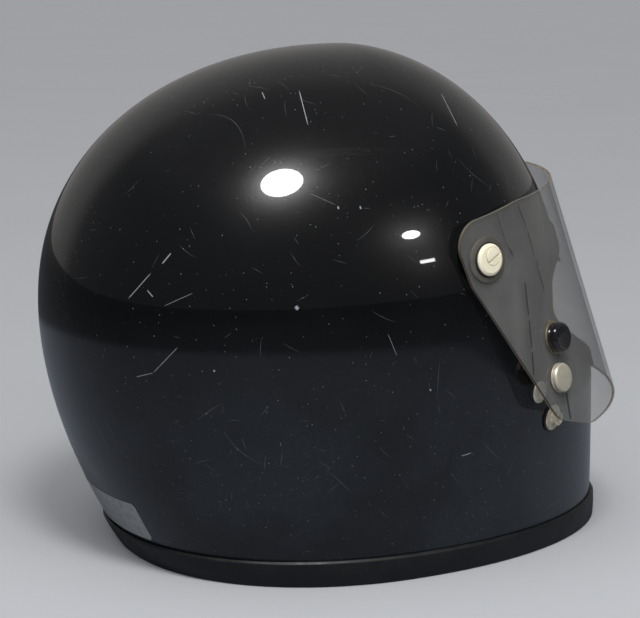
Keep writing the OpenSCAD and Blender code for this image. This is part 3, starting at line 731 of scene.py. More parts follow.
@dataclass(frozen=True)
class Lacquer(Finish):
    """Black lacquer under a clear coat: a bluish grey that grows in patches towards the bottom, fine
    scratches and a few deep marks.
    """

    black: tuple = (0.0011, 0.0012, 0.0015, 1)
    # Bluish grey that the lacquer takes in patches, more towards the bottom.
    lower_tint: tuple = (0.009, 0.0115, 0.015, 1)
    scar: tuple = (0.36, 0.37, 0.4, 1)
    marks: tuple = ()
    map_radius: float = 125.0
    crown: tuple = (0.222, 0.226)
    lower_band: tuple = (0.02, 0.16)
    roughness: float = 0.26
    coat: float = 0.9
    coat_loss: float = 0.6
    relief: float = 0.0006
    fine: Scratches = Scratches(15.0, 5.0, 0.13, 0.35, 31.0)
    long: Scratches = Scratches(46.0, 15.0, 0.16, 0.35, 7.0)
    swirl: Scratches = Scratches(3.0, 5.0, 0.1, 0.9, 90.0)
    rub: Scratches = Scratches(4.5, 4.0, 0.16, 0.9, 55.0)

    def build(self, fx: Effects) -> bpy.types.Material:
        """Makes the material."""
        material, n, shader, here = self.begin()
        x, y, z = n.axes(here)
        side = n.combined(n.times(n.math("ARCTAN2", y, x), self.map_radius), n.times(z, TO_MM))
        top = n.vector("MULTIPLY", here, (TO_MM, TO_MM, 0.0))
        over = n.choose(n.ramp(z, *self.crown), side, top)
        # Greyer towards the bottom: fully below 20 mm, not at all above 160 mm.
        low = n.ramp(z, *self.lower_band, 1.0, 0.0)
        film = n.group(fx.film, {"Position": here})
        fine, long, swirl, rub = (s.mask(n, fx, over) for s in (self.fine, self.long, self.swirl, self.rub))
        faint = n.times(n.math("MAXIMUM", fine, long), 0.22)
        deep = n.times(film.outputs["Specks"], 0.35)
        for mark in self.marks:
            line = n.group(fx.mark, {"Position": here, **mark.inputs(SHELL)})
            deep = n.math("MAXIMUM", deep, line.outputs[0])
        scars = n.math("MAXIMUM", faint, deep, clamp=True)
        # Bluish grey patches, thicker towards the bottom; the same mask roughens the lacquer and carries the
        # rubbing.
        greying = n.times(n.plus(film.outputs["Patches"], 0.3), n.plus(low, 0.06), clamp=True)
        rubbed = n.times(n.times(rub, greying), 0.06)
        base = n.mix(n.times(greying, 0.8), self.black, self.lower_tint)
        n.feed(shader, {
            "Base Color": n.mix(n.plus(scars, rubbed, clamp=True), base, self.scar),
            "Roughness": n.plus(n.times(greying, 0.15), self.roughness, clamp=True),
            "Specular IOR Level": 0.22,
            "Coat Weight": n.minus(self.coat, n.times(scars, self.coat_loss), clamp=True),
            "Coat Roughness": 0.03,
            "Coat IOR": 1.5,
        })
        wave = n.noise(here, 26.0, 1.0)
        rough = n.times(n.plus(scars, n.times(swirl, 0.6)), -0.05)
        self.raise_by(n, shader, n.plus(n.times(wave, 0.2), rough), self.relief, 0.5)
        return material


@dataclass(frozen=True)
class Moulded(Finish):
    """Moulded plastic, rubber or vinyl: a fine grain, soft patches and dust in places."""

    colour: tuple = (0.01, 0.01, 0.011)
    worn: tuple = (0.04, 0.04, 0.042)
    roughness: float = 0.4
    grain: float = 900.0
    depth: float = 0.00002
    wear: float = 0.4
    coat: float = 0.0

    def build(self, fx: Effects) -> bpy.types.Material:
        """Makes the material."""
        material, n, shader, here = self.begin()
        film = n.group(fx.film, {"Position": here, "Patch": 60.0, "Speck": 900.0})
        edge = n.ramp(n.add("ShaderNodeNewGeometry").outputs["Pointiness"], 0.5, 0.62)
        share = n.times(n.math("MAXIMUM", film.outputs["Patches"], edge), self.wear, clamp=True)
        colour = n.mix(share, (*self.colour, 1), (*self.worn, 1))
        n.feed(shader, {
            "Base Color": n.mix(n.times(film.outputs["Specks"], 0.25), colour, (0.3, 0.3, 0.3, 1)),
            "Roughness": n.plus(n.times(film.outputs["Patches"], 0.15), self.roughness, clamp=True),
            "Coat Weight": self.coat,
            "Coat Roughness": 0.05,
        })
        grain = n.group(fx.grain, {"Position": here, "Scale": self.grain})
        self.raise_by(n, shader, grain.outputs[0], self.depth, 0.6)
        return material


@dataclass(frozen=True)
class Metal(Finish):
    """Plated or bare metal, rubbed in fine lines, with tarnish in patches."""

    colour: tuple = (0.6, 0.6, 0.6)
    tarnish: tuple = (0.2, 0.16, 0.1)
    roughness: float = 0.28
    age: float = 0.5
    metal: float = 1.0
    lines: Scratches = Scratches(1.6, 1.8, 0.05, 0.8)

    def build(self, fx: Effects) -> bpy.types.Material:
        """Makes the material."""
        material, n, shader, here = self.begin()
        film = n.group(fx.film, {"Position": here, "Patch": 220.0, "Speck": 1500.0})
        flat = n.turned(n.vector("MULTIPLY", here, (TO_MM, 0.0, TO_MM)), "X_AXIS", -0.5 * math.pi)
        lines = self.lines.mask(n, fx, flat)
        share = n.times(film.outputs["Patches"], self.age, clamp=True)
        n.feed(shader, {
            "Base Color": n.mix(share, (*self.colour, 1), (*self.tarnish, 1)),
            "Metallic": self.metal,
            "Roughness": n.plus(n.times(share, 0.3),
                                n.plus(n.times(lines, 0.15), self.roughness), clamp=True),
        })
        self.raise_by(n, shader, n.minus(n.noise(here, 700.0), lines), 0.00002, 0.4)
        return material


@dataclass(frozen=True)
class SmokeSheet(Finish):
    """Smoke-grey clear sheet with a milky bloom, fine scratches and long hair cracks."""

    tint: tuple = (0.165, 0.165, 0.16, 1)
    bloom: tuple = (0.34, 0.34, 0.33, 1)
    opacity: float = 0.28
    roughness: float = 0.14
    relief: float = 0.0005
    cracks: tuple = ()
    map_radius: float = 110.0
    fine: Scratches = Scratches(9.0, 5.0, 0.12, 0.5, 12.0)

    def build(self, fx: Effects) -> bpy.types.Material:
        """Makes the material."""
        material, n, shader, here = self.begin()
        x, y, z = n.axes(here)
        flat = n.combined(n.times(n.math("ARCTAN2", y, x), self.map_radius), n.times(z, TO_MM))
        film = n.group(fx.film, {"Position": here, "Patch": 24.0, "Speck": 500.0})
        streak = n.vector("MULTIPLY", here, (60.0, 60.0, 9.0))
        smears = n.ramp(n.noise(streak, 1.0, 3.0, 0.6), 0.4, 0.75)
        fine = self.fine.mask(n, fx, flat)
        cracks = [n.group(fx.mark, {"Position": here, **crack.inputs(SHEET)}).outputs[0]
                  for crack in self.cracks]
        crack = cracks[0]
        for more in cracks[1:]:
            crack = n.math("MAXIMUM", crack, more)
        light = n.times(n.plus(fine, film.outputs["Specks"]), 0.4, clamp=True)
        tint = n.mix(n.times(n.math("MAXIMUM", film.outputs["Patches"], smears), 0.3), self.tint, self.bloom)
        dark = n.mix(crack, n.mix(light, tint, (0.35, 0.35, 0.35, 1)), (0.004, 0.004, 0.004, 1))
        cover = n.plus(n.times(smears, 0.05), self.opacity)
        cover = n.plus(cover, n.plus(n.times(light, 0.15), n.times(crack, 0.5)))
        rim = n.add("ShaderNodeLayerWeight", {"Blend": 0.35}).outputs["Facing"]
        n.feed(shader, {
            "Base Color": dark,
            "Roughness": n.plus(n.times(light, 0.3), self.roughness, clamp=True),
            "Specular IOR Level": 0.5,
            "Alpha": n.plus(cover, n.times(n.math("POWER", rim, 3.0), 0.2), clamp=True),
        })
        wave = n.noise(here, 18.0, 1.0)
        self.raise_by(n, shader, n.minus(wave, n.times(light, 0.1)), self.relief, 0.2)
        return material


@dataclass(frozen=True)
class Fabric(Finish):
    """Cloth or webbing: crossing threads, fuzz, and colour that fades in patches."""

    colour: tuple = (0.03, 0.03, 0.033)
    faded: tuple = (0.07, 0.068, 0.066)
    pitch: float = 1.1
    depth: float = 0.0003
    sheen: float = 0.3

    def build(self, fx: Effects) -> bpy.types.Material:
        """Makes the material."""
        material, n, shader, here = self.begin()
        turn = n.turned(here, "X_AXIS", 0.5 * math.pi)
        steep = n.axes(n.add("ShaderNodeNewGeometry").outputs["Normal"])
        upright = n.math("GREATER_THAN", n.math("ABSOLUTE", steep[2]), 0.72)
        map_mm = n.vector("SCALE", n.choose(upright, turn, here), TO_MM)
        weave = n.group(fx.weave, {"Map": map_mm, "Pitch": self.pitch})
        film = n.group(fx.film, {"Position": here, "Patch": 45.0, "Speck": 1200.0})
        fuzz = n.noise(here, 2600.0, 3.0)
        shade = n.plus(n.times(film.outputs["Patches"], 0.45),
                       n.times(weave.outputs[0], 0.5), clamp=True)
        n.feed(shader, {
            "Base Color": n.mix(shade, (*self.colour, 1), (*self.faded, 1)),
            "Roughness": 0.92,
            "Sheen Weight": self.sheen,
            "Sheen Roughness": 0.5,
        })
        self.raise_by(n, shader, n.plus(weave.outputs[0], n.times(fuzz, 0.6)), self.depth, 0.7)
        return material


@dataclass(frozen=True)
class BeadFoam(Finish):
    """Moulded foam of fused beads."""

    colour: tuple = (0.7, 0.69, 0.66, 1)
    seam: tuple = (0.42, 0.41, 0.39, 1)
    beads: float = 330.0

    def build(self, fx: Effects) -> bpy.types.Material:
        """Makes the material."""
        material, n, shader, here = self.begin()
        cells = {"Vector": here, "Scale": self.beads}
        beads = n.add("ShaderNodeTexVoronoi", cells, feature="DISTANCE_TO_EDGE").outputs[0]
        edge = n.ramp(beads, 0.0, 0.12, 1.0, 0.0)
        film = n.group(fx.film, {"Position": here, "Patch": 30.0, "Speck": 700.0})
        share = n.plus(n.times(edge, 0.5), n.times(film.outputs["Patches"], 0.25), clamp=True)
        n.feed(shader, {"Base Color": n.mix(share, self.colour, self.seam), "Roughness": 0.85})
        self.raise_by(n, shader, n.minus(1.0, edge), 0.0004, 0.6)
        return material


@dataclass(frozen=True)
class StudioFloor(Finish):
    """Floor that the camera sees plain and pale, while the lacquer mirrors a darker table in a dim room."""

    colour: tuple = (0.40, 0.41, 0.43, 1)
    room: tuple = (0.045, 0.047, 0.05, 1)
    mirrored: tuple = (0.14, 0.155, 0.18, 1)
    table: float = 0.56
    edge: float = 0.12

    def build(self, fx: Effects) -> bpy.types.Material:
        """Makes the material."""
        material, n, shader, here = self.begin()
        soft = n.mix(n.noise(here, 5.0, 2.0), self.colour, tuple(0.95 * c for c in self.colour))
        near = n.ramp(n.vector("LENGTH", here), self.table, self.table + self.edge, 1.0, 0.0)
        seen = n.add("ShaderNodeLightPath").outputs["Is Camera Ray"]
        other = n.mix(near, self.room, self.mirrored)
        n.feed(shader, {"Base Color": n.mix(seen, other, soft), "Roughness": 0.9, "Specular IOR Level": 0.0})
        return material


MARKS = (
    Mark((299, 90), (308, 125), 0.3), Mark((262, 92), (265, 99), 0.3),
    Mark((295.5, 306.5), (298.5, 309.5), 1.1, 0.9),
    Mark((171, 253), (162, 264), 0.4), Mark((151, 273), (128, 299), 0.28), Mark((147, 290), (153, 297), 0.35),
    Mark((193, 293), (164, 306), 0.22, 0.5), Mark((338, 206), (338.5, 209), 0.5),
    Mark((360, 206), (361, 209), 0.45), Mark((388, 334), (397, 356), 0.2, 0.5),
    Mark((214, 370), (214.5, 372), 0.6), Mark((430, 389), (431, 391), 0.5), Mark((462, 456), (471, 453), 0.3),
    Mark((441, 93), (458, 127), 0.24, 0.5), Mark((309, 193), (336, 205), 0.16, 0.35),
    *chain([(178, 347), (153, 373), (136, 377)], 0.3, 0.5),
)
CRACKS = (
    *chain([(496, 212), (501, 228), (506, 243), (511, 252)], 0.5, 0.9),
    Mark((509.5, 249), (513.5, 256.5), 1.8, 0.8),
    *chain([(517, 203), (527, 229), (535, 258), (545, 293)], 0.7, 0.9),
    Mark((501, 287), (503, 321), 0.6, 0.5),
    *chain([(524.5, 279), (529, 318), (532, 350), (534, 377)], 0.7, 1.0),
    Mark((566, 391), (571, 421), 0.9, 1.0), Mark((558.6, 257), (559.6, 262), 1.0, 0.9),
)


class Look(Enum):
    """Every finish on the helmet."""

    SHELL = Lacquer("black_lacquer", "gloss_shell", marks=MARKS)
    TRIM = Moulded("black_vinyl", "vinyl", (0.003, 0.003, 0.0035), (0.014, 0.014, 0.015),
                   0.42, 1300.0, 0.00003, 0.3)
    RUBBER = Moulded("port_rubber", "rubber_strip", (0.006, 0.006, 0.006), (0.02, 0.02, 0.02),
                     0.5, 1100.0, 0.00003, 0.3)
    SHEET = SmokeSheet("smoke_sheet", "smoke_sheet", cracks=CRACKS)
    SHEET_EDGE = Moulded("sheet_edge", "smoke_sheet", (0.12, 0.085, 0.04), (0.2, 0.155, 0.09),
                         0.25, 500.0, 0.00001, 0.5)
    IVORY = Moulded("ivory_plastic", "ivory_plastic", (0.74, 0.70, 0.56), (0.6, 0.52, 0.34),
                    0.3, 500.0, 0.00001, 0.35, 0.3)
    GROMMET = Moulded("grommet_plastic", "black_plastic", (0.055, 0.052, 0.046), (0.12, 0.11, 0.09),
                      0.3, 700.0, 0.00002, 0.4, 0.3)
    PLASTIC = Moulded("black_plastic", "black_plastic", (0.008, 0.008, 0.009), (0.03, 0.03, 0.03),
                      0.38, 900.0, 0.00002, 0.3)
    KNOB = Moulded("gloss_black", "gloss_black", (0.003, 0.003, 0.004), (0.02, 0.02, 0.02),
                   0.12, 500.0, 0.000005, 0.15, 1.0)
    CAP = Metal("cap_nickel", "cap_nickel", (0.62, 0.58, 0.47), (0.42, 0.37, 0.27), 0.36, 0.45, 0.6)
    BRASSY = Metal("worn_brass", "brass", (0.48, 0.37, 0.2), (0.16, 0.12, 0.07), 0.32, 0.6)
    NICKEL = Metal("stud_nickel", "nickel", (0.9, 0.84, 0.68), (0.26, 0.2, 0.11), 0.26, 0.6, 0.5)
    STEEL = Metal("bright_steel", "bright_steel", (0.84, 0.79, 0.65), (0.36, 0.3, 0.2), 0.24, 0.45, 0.6)
    PLAIN = Metal("plain_steel", "plain_steel", (0.46, 0.4, 0.25), (0.14, 0.1, 0.045), 0.3, 0.8, 0.8)
    FOIL = Metal("plain_foil", "bright_steel", (0.5, 0.5, 0.49), (0.28, 0.28, 0.27), 0.42, 0.4, 0.6)
    FOAM = BeadFoam("bead_foam", "foam")
    CLOTH = Fabric("liner_cloth", "cloth", (0.022, 0.022, 0.025), (0.055, 0.054, 0.056), 0.9)
    WEBBING = Fabric("strap_webbing", "webbing", (0.018, 0.018, 0.02), (0.06, 0.059, 0.058), 1.6, 0.0005)
    THREAD = Fabric("thread", "cloth", (0.05, 0.05, 0.055), (0.1, 0.1, 0.1), 0.6)
    FLOOR = StudioFloor("studio_floor", "")


def grid_faces(rows: int, cols: int, wrap_rows: bool = False, wrap_cols: bool = False) -> list[tuple]:
    """Quads of a grid of points; a wrap joins the last row or column to the first."""
    faces = []
    for i in range(rows if wrap_rows else rows - 1):
        here, above = i * cols, (i + 1) % rows * cols
        for j in range(cols if wrap_cols else cols - 1):
            after = (j + 1) % cols
            faces.append((here + j, here + after, above + after, above + j))
    return faces


def soften(corners: list[tuple], steps: int = 5, closed: bool = False) -> list[tuple[float, float]]:
    """A flat line whose corners are turned into arcs.

    Args:
        corners: X, Y and radius of each corner.
        steps: Steps of each arc.
        closed: True where the last corner joins the first.

    Returns:
        The points of the line.
    """
    line = []
    last = len(corners) - 1
    for i, (x, y, radius) in enumerate(corners):
        if radius <= 0 or (not closed and i in (0, last)):
            line.append((x, y))
            continue
        c, p, q = Vector((x, y)), Vector(corners[i - 1][:2]), Vector(corners[(i + 1) % len(corners)][:2])
        u, v = (p - c).normalized(), (q - c).normalized()
        half = math.acos(max(-1.0, min(1.0, u.dot(v)))) / 2
        reach = min(radius / math.tan(half), (p - c).length * 0.49, (q - c).length * 0.49)
        centre = c + (u + v).normalized() * (reach / math.cos(half))
        start, end = c + u * reach - centre, c + v * reach - centre
        sweep = math.copysign(math.pi - 2 * half, start.x * end.y - start.y * end.x)
        for k in range(steps + 1):
            a = sweep * k / steps
            line.append((centre.x + start.x * math.cos(a) - start.y * math.sin(a),
                         centre.y + start.x * math.sin(a) + start.y * math.cos(a)))
    return line


def polar(radius: float, angle: float) -> tuple[float, float]:
    """Flat point at a distance and an angle from the origin."""
    return radius * math.cos(angle), radius * math.sin(angle)


def lathe(profile: list[tuple[float, float]], sides: int = 72) -> tuple[list, list]:
    """Solid of revolution about Z.

    Args:
        profile: Radius and height of each point, from the axis round to the axis.
        sides: Number of sides.

    Returns:
        Points and faces.
    """
    points, rows, faces = [], [], []
    for r, z in profile:
        if r < 1e-6:
            rows.append([len(points)] * sides)
            points.append((0.0, 0.0, z))
            continue
        rows.append([len(points) + k for k in range(sides)])
        points += [(*polar(r, math.tau * k / sides), z) for k in range(sides)]
    for a, b in zip(rows, rows[1:]):
        for k in range(sides):
            loop = (a[k], a[(k + 1) % sides], b[(k + 1) % sides], b[k])
            face = tuple(dict.fromkeys(loop))
            if len(face) > 2:
                faces.append(face)
    return points, faces


def sheet_between(outer: list, inner: list, faces: list, bulge: float = 0.0,
                  steps: int = 0) -> tuple[list, list, int]:
    """Closed sheet between two skins that share their faces.

    Args:
        outer: Points of the outer skin.
        inner: Points of the inner skin.
        faces: Faces of both skins.
        bulge: How far the middle of the edge stands out.
        steps: Number of rows of points round the edge, between the skins.

    Returns:
        Points, faces and the index of the first face of the edge.
    """
    used = {}
    for a, b in ((f[k], f[(k + 1) % len(f)]) for f in faces for k in range(len(f))):
        used[(a, b)] = used.get((a, b), 0) + 1
    edges = [e for e in used if (e[1], e[0]) not in used]
    count = len(outer)
    points = [Vector(p) for p in outer] + [Vector(p) for p in inner]
    made = list(faces) + [tuple(i + count for i in reversed(f)) for f in faces]
    first = len(made)
    out = {}
    for a, b in edges:
        along = points[b] - points[a]
        across = along.cross(points[a] - points[a + count])
        if across.length > 1e-12:
            across.normalize()
            for k in (a, b):
                out[k] = out.get(k, Vector((0, 0, 0))) + across
    rings = {}
    for k, push in out.items():
        rings[k] = [k]
        for step in range(1, steps + 1):
            t = step / (steps + 1)
            rings[k].append(len(points))
            swell = push.normalized() * bulge * math.sin(math.pi * t)
            points.append(points[k].lerp(points[k + count], t) + swell)
        rings[k].append(k + count)
    for a, b in edges:
        if a in rings and b in rings:
            made += [(rings[b][k], rings[a][k], rings[a][k + 1], rings[b][k + 1]) for k in range(steps + 1)]
    return points, made, first


def swept(loops: list[list], closed: bool = False) -> tuple[list, list]:
    """Solid through a row of closed loops of points, capped at its ends unless it closes on itself."""
    rows, cols = len(loops), len(loops[0])
    faces = grid_faces(rows, cols, closed, True)
    if not closed:
        faces += [tuple(range(cols - 1, -1, -1)), tuple((rows - 1) * cols + k for k in range(cols))]
    return [p for loop in loops for p in loop], faces


def smoothed(grid: np.ndarray, passes: int, axis: int, wrap: bool) -> np.ndarray:
    """Evens out a grid of points along one axis without drawing it in."""
    def blur(points: np.ndarray) -> np.ndarray:
        for _ in range(passes):
            if wrap:
                before, after = np.roll(points, 1, axis), np.roll(points, -1, axis)
            else:
                count = points.shape[axis]
                first, second, fore, last = (points.take([k], axis) for k in (0, 1, -2, -1))
                longer = np.concatenate([2 * first - second, points, 2 * last - fore], axis)
                before, after = longer.take(range(count), axis), longer.take(range(2, count + 2), axis)
            points = 0.25 * before + 0.5 * points + 0.25 * after
        return points
    soft = blur(grid)
    return soft + blur(grid - soft)


class Shop:
    """Turns points and faces into named pieces that ride on the frame's bodies."""

    port_run = 260.0

    def __init__(self) -> None:
        """Makes every finish."""
        effects = Effects()
        self.materials = {look: look.value.build(effects) for look in Look}

    def piece(self, name: str, points: list, faces: list, look: Look, body: str = HELMET,
              matrix: Matrix | None = None, angle: float = 35.0) -> bpy.types.Object:
        """Makes one piece.

        Args:
            name: Name of the piece.
            points: Points in millimetres.
            faces: Faces.
            look: Finish.
            body: Body that it rides on.
            matrix: Frame of the points, or None for the row frame in millimetres.
            angle: Edges sharper than this stay sharp.

        Returns:
            The piece.
        """
        matrix = matrix or Matrix.Scale(MM, 4)
        mesh = bpy.data.meshes.new(name)
        mesh.from_pydata([matrix @ Vector(p) for p in points], [], faces)
        build = bmesh.new()
        build.from_mesh(mesh)
        bmesh.ops.remove_doubles(build, verts=build.verts, dist=1e-7)
        bmesh.ops.recalc_face_normals(build, faces=build.faces)
        build.to_mesh(mesh)
        build.free()
        mesh.shade_smooth()
        mesh.set_sharp_from_angle(angle=math.radians(angle))
        piece = bpy.data.objects.new(name, mesh)
        bpy.context.scene.collection.objects.link(piece)
        mesh.materials.append(self.materials[look])
        if body:
            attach(piece, body)
        return piece

    def turned(self, name: str, corners: list, look: Look, body: str, matrix: Matrix,
               sides: int = 72) -> bpy.types.Object:
        """Makes a lathed piece from the rounded corners of its half section."""
        return self.piece(name, *lathe(soften(corners), sides), look, body, matrix)

    @staticmethod
    def combine(piece: bpy.types.Object, operation: str, others: tuple) -> bpy.types.Object:
        """Joins shapes to a piece or cuts them out of it, and removes them."""
        for other in others:
            step = piece.modifiers.new("step", "BOOLEAN")
            step.operation, step.solver, step.object = operation, "EXACT", other
        graph = bpy.context.evaluated_depsgraph_get()
        done = bpy.data.meshes.new_from_object(piece.evaluated_get(graph))
        piece.modifiers.clear()
        piece.data = done
        for other in others:
            bpy.data.objects.remove(other)
        return piece

    def carve(self, piece: bpy.types.Object, *cutters: bpy.types.Object) -> bpy.types.Object:
        """Cuts shapes out of a piece."""
        return self.combine(piece, "DIFFERENCE", cutters)

    def weld(self, piece: bpy.types.Object, *others: bpy.types.Object) -> bpy.types.Object:
        """Joins shapes to a piece."""
        return self.combine(piece, "UNION", others)

    def cutter(self, points: list, faces: list, matrix: Matrix | None = None) -> bpy.types.Object:
        """A shape to cut with, on no body."""
        return self.piece("cutter", points, faces, Look.PLASTIC, "", matrix)

    def block(self, low: tuple, high: tuple, matrix: Matrix | None = None) -> bpy.types.Object:
        """A box to cut with."""
        points = [(x, y, z) for x in (low[0], high[0]) for y in (low[1], high[1]) for z in (low[2], high[2])]
        faces = [(0, 1, 3, 2), (4, 6, 7, 5), (0, 4, 5, 1), (2, 3, 7, 6), (0, 2, 6, 4), (1, 5, 7, 3)]
        return self.cutter(points, faces, matrix)

    def port_cutter(self, grow: float, steps: int = 120) -> bpy.types.Object:
        """The eye port's outline, grown and run through the front of the helmet."""
        outline = [PORT.yz(math.tau * k / steps, grow) for k in range(steps)]
        return self.cutter(*swept([[(x, y, z) for y, z in outline] for x in (0.0, self.port_run)]))


def dome_heights(top: float, foot: float, low: int, high: int) -> list[float]:
    """Heights of a dome's rows: even up to the widest level, then closer towards the crown."""
    wide = SHELL.widest_z
    heights = [foot + (wide - foot) * i / low for i in range(low)]
    return heights + [wide + (top - wide) * math.sin(math.pi / 2 * i / high) for i in range(high)]


def crown_faces(rows: int, cols: int) -> list[tuple]:
    """Faces of a dome whose rows run from its foot and whose last point is its crown."""
    start = (rows - 1) * cols
    fan = [(start + j, start + (j + 1) % cols, rows * cols) for j in range(cols)]
    return grid_faces(rows, cols, False, True) + fan


@dataclass
class ShellMoulding:
    """The gloss shell, the vinyl bead round its foot and the bare plate at its back."""

    columns: int = 256
    low_rows: int = 54
    high_rows: int = 60
    evening: int = 14
    trim_height: float = 15.0
    trim_out: float = 2.4
    stations: int = 256
    plate_half: float = 37.0
    plate_low: float = 17.5
    plate_high: float = 38.5
    plate_thick: float = 0.25
    plate_gap: float = 0.02
    plate_corner: float = 2.2

    def surface(self, depth: float, foot: float) -> np.ndarray:
        """Points of the shell's surface at a depth, row by row from the foot, without the crown point."""
        angles = [math.tau * (j + 0.5) / self.columns for j in range(self.columns)]
        heights = dome_heights(SHELL.height + depth, foot, self.low_rows, self.high_rows)
        return np.array([[SHELL.point(a, z, depth) for a in angles] for z in heights])

    def evened(self, grid: np.ndarray, depth: float) -> np.ndarray:
        """The surface with its curvature evened out across the crown and round the sides."""
        rows = len(grid)
        crown = np.tile([[[0.0, 0.0, SHELL.height + depth]]], (1, self.columns, 1))
        far = np.roll(grid[::-1], self.columns // 2, axis=1)
        whole = smoothed(np.concatenate([grid, crown, far]), self.evening, 0, False)
        whole = smoothed(whole, self.evening, 1, True)
        top = whole[rows].mean(axis=0)
        return whole[:rows], top

    def skin(self, depth: float, foot: float) -> list:
        """Points of one skin of the shell, the crown last."""
        grid, top = self.evened(self.surface(depth, foot), depth)
        return [tuple(p) for p in grid.reshape(-1, 3)] + [tuple(top)]

    def faces(self, points: list) -> tuple[list, dict]:
        """Faces outside the eye port, and where each point of its edge belongs.

        Args:
            points: Points of the outer skin.

        Returns:
            The faces, and the outline's angle for each point of the port's edge.
        """
        kept, dropped = [], set()
        for face in crown_faces(self.low_rows + self.high_rows, self.columns):
            x, y, z = np.mean([points[k] for k in face], axis=0)
            if x > 0 and PORT.reach(y, z, 0) < 1:
                dropped.update(face)
            else:
                kept.append(face)
        edge = {k for face in kept for k in face} & dropped
        return kept, {k: PORT.angle_of(points[k][1], points[k][2]) for k in edge}

    @staticmethod
    def snapped(points: list, edge: dict, depth: float) -> list:
        """The skin with its port edge moved onto the outline."""
        for k, q in edge.items():
            y, z = PORT.yz(q, 0)
            points[k] = (SHELL.face_x(y, z, depth), y, z)
        return points

    def build(self, shop: Shop) -> None:
        """Makes the pieces."""
        outer, inner = self.skin(0, SHELL.foot), self.skin(-SHELL.wall, SHELL.foot)
        faces, edge = self.faces(outer)
        skins = self.snapped(outer, edge, 0), self.snapped(inner, edge, -SHELL.wall)
        points, made, _ = sheet_between(*skins, faces)
        used = sorted({k for f in made for k in f})
        place = {k: i for i, k in enumerate(used)}
        made = [tuple(place[k] for k in f) for f in made]
        shell = shop.piece("shell_moulding", [points[k] for k in used], made, Look.SHELL, angle=50)
        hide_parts("shell")
        self.bead(shop)
        self.plate(shop)

    def bead(self, shop: Shop) -> None:
        """Vinyl bead round the foot of the shell."""
        out, top, wall = self.trim_out, self.trim_height, SHELL.wall + 0.3
        profile = soften([
            (out - 0.1, 0.3, 1.6), (out + 0.15, top * 0.5, 8), (out - 0.1, top - 1.2, 1.0),
            (out - 1.5, top, 0.5), (0.2, top, 0), (0.2, SHELL.foot - 0.2, 0), (-wall, SHELL.foot - 0.2, 0),
            (-wall, top - 3, 0), (-wall - 1.4, top - 3, 0.4), (-wall - 1.8, 1.2, 1.2), (-wall - 0.6, 0, 0.8),
            (0.8, 0, 1.0)], 4, True)
        angles = [math.tau * i / self.stations for i in range(self.stations)]
        loops = [[SHELL.point(a, z, d) for d, z in profile] for a in angles]
        trim = shop.piece("neck_bead", *swept(loops, True), Look.TRIM, angle=50)
        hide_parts("neck_trim")

    def plate(self, shop: Shop) -> None:
        """Bare foil plate at the back, above the bead."""
        cols, rows = 60, 18
        half, mid = self.plate_half, (self.plate_low + self.plate_high) / 2
        tall = (self.plate_high - self.plate_low) / 2

        def at(i: int, j: int, depth: float) -> tuple[float, float, float]:
            y, up = half * (2 * j / cols - 1), tall * (2 * i / rows - 1)
            corner = self.plate_corner
            over = max(0.0, abs(y) - half + corner)
            up = math.copysign(min(abs(up), tall - corner + math.sqrt(max(0.0, corner ** 2 - over ** 2))), up)
            z = mid + up
            m, n = SHELL.mid_x(z), SHELL.plan_rear
            x = m - (SHELL.rear_x(z, depth) + m) * (1 - (abs(y) / SHELL.half_y(z, depth)) ** n) ** (1 / n)
            return x, y, z

        skins = [[at(i, j, d) for i in range(rows + 1) for j in range(cols + 1)]
                 for d in (self.plate_thick, self.plate_gap)]
        points, faces, _ = sheet_between(*skins, grid_faces(rows + 1, cols + 1))
        shop.piece("rear_plate", points, faces, Look.FOIL)


@dataclass
class EyePort:
    """The rubber strip round the eye port."""

    lip: float = 9.0
    lip_wall: float = 1.6
    stations: int = 288

    def build(self, shop: Shop) -> None:
        """Makes the strip."""
        inside, seat, lip, wall = SHELL.wall + 0.6, 0.25, self.lip, self.lip_wall
        profile = soften([
            (lip, seat - 0.2, 0.2), (lip - 0.5, wall + seat - 0.3, 0.6), (0, wall + seat, 3),
            (-2, wall + seat - 0.2, 1.2), (-2.5, -1, 1), (-2.4, -inside - 1, 1), (-1.4, -inside - wall, 0.6),
            (lip - 2.5, -inside - wall, 0.5), (lip - 2, -inside, 0.3), (-0.25, -inside, 0.1),
            (-0.25, seat - 0.2, 0.1)], 4, True)
        loops = []
        for k in range(self.stations):
            q = math.tau * k / self.stations
            loops.append([(SHELL.face_x(*PORT.yz(q, g), d), *PORT.yz(q, g)) for g, d in profile])
        strip = shop.piece("port_strip", *swept(loops, True), Look.RUBBER, angle=50)
        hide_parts("port_trim")


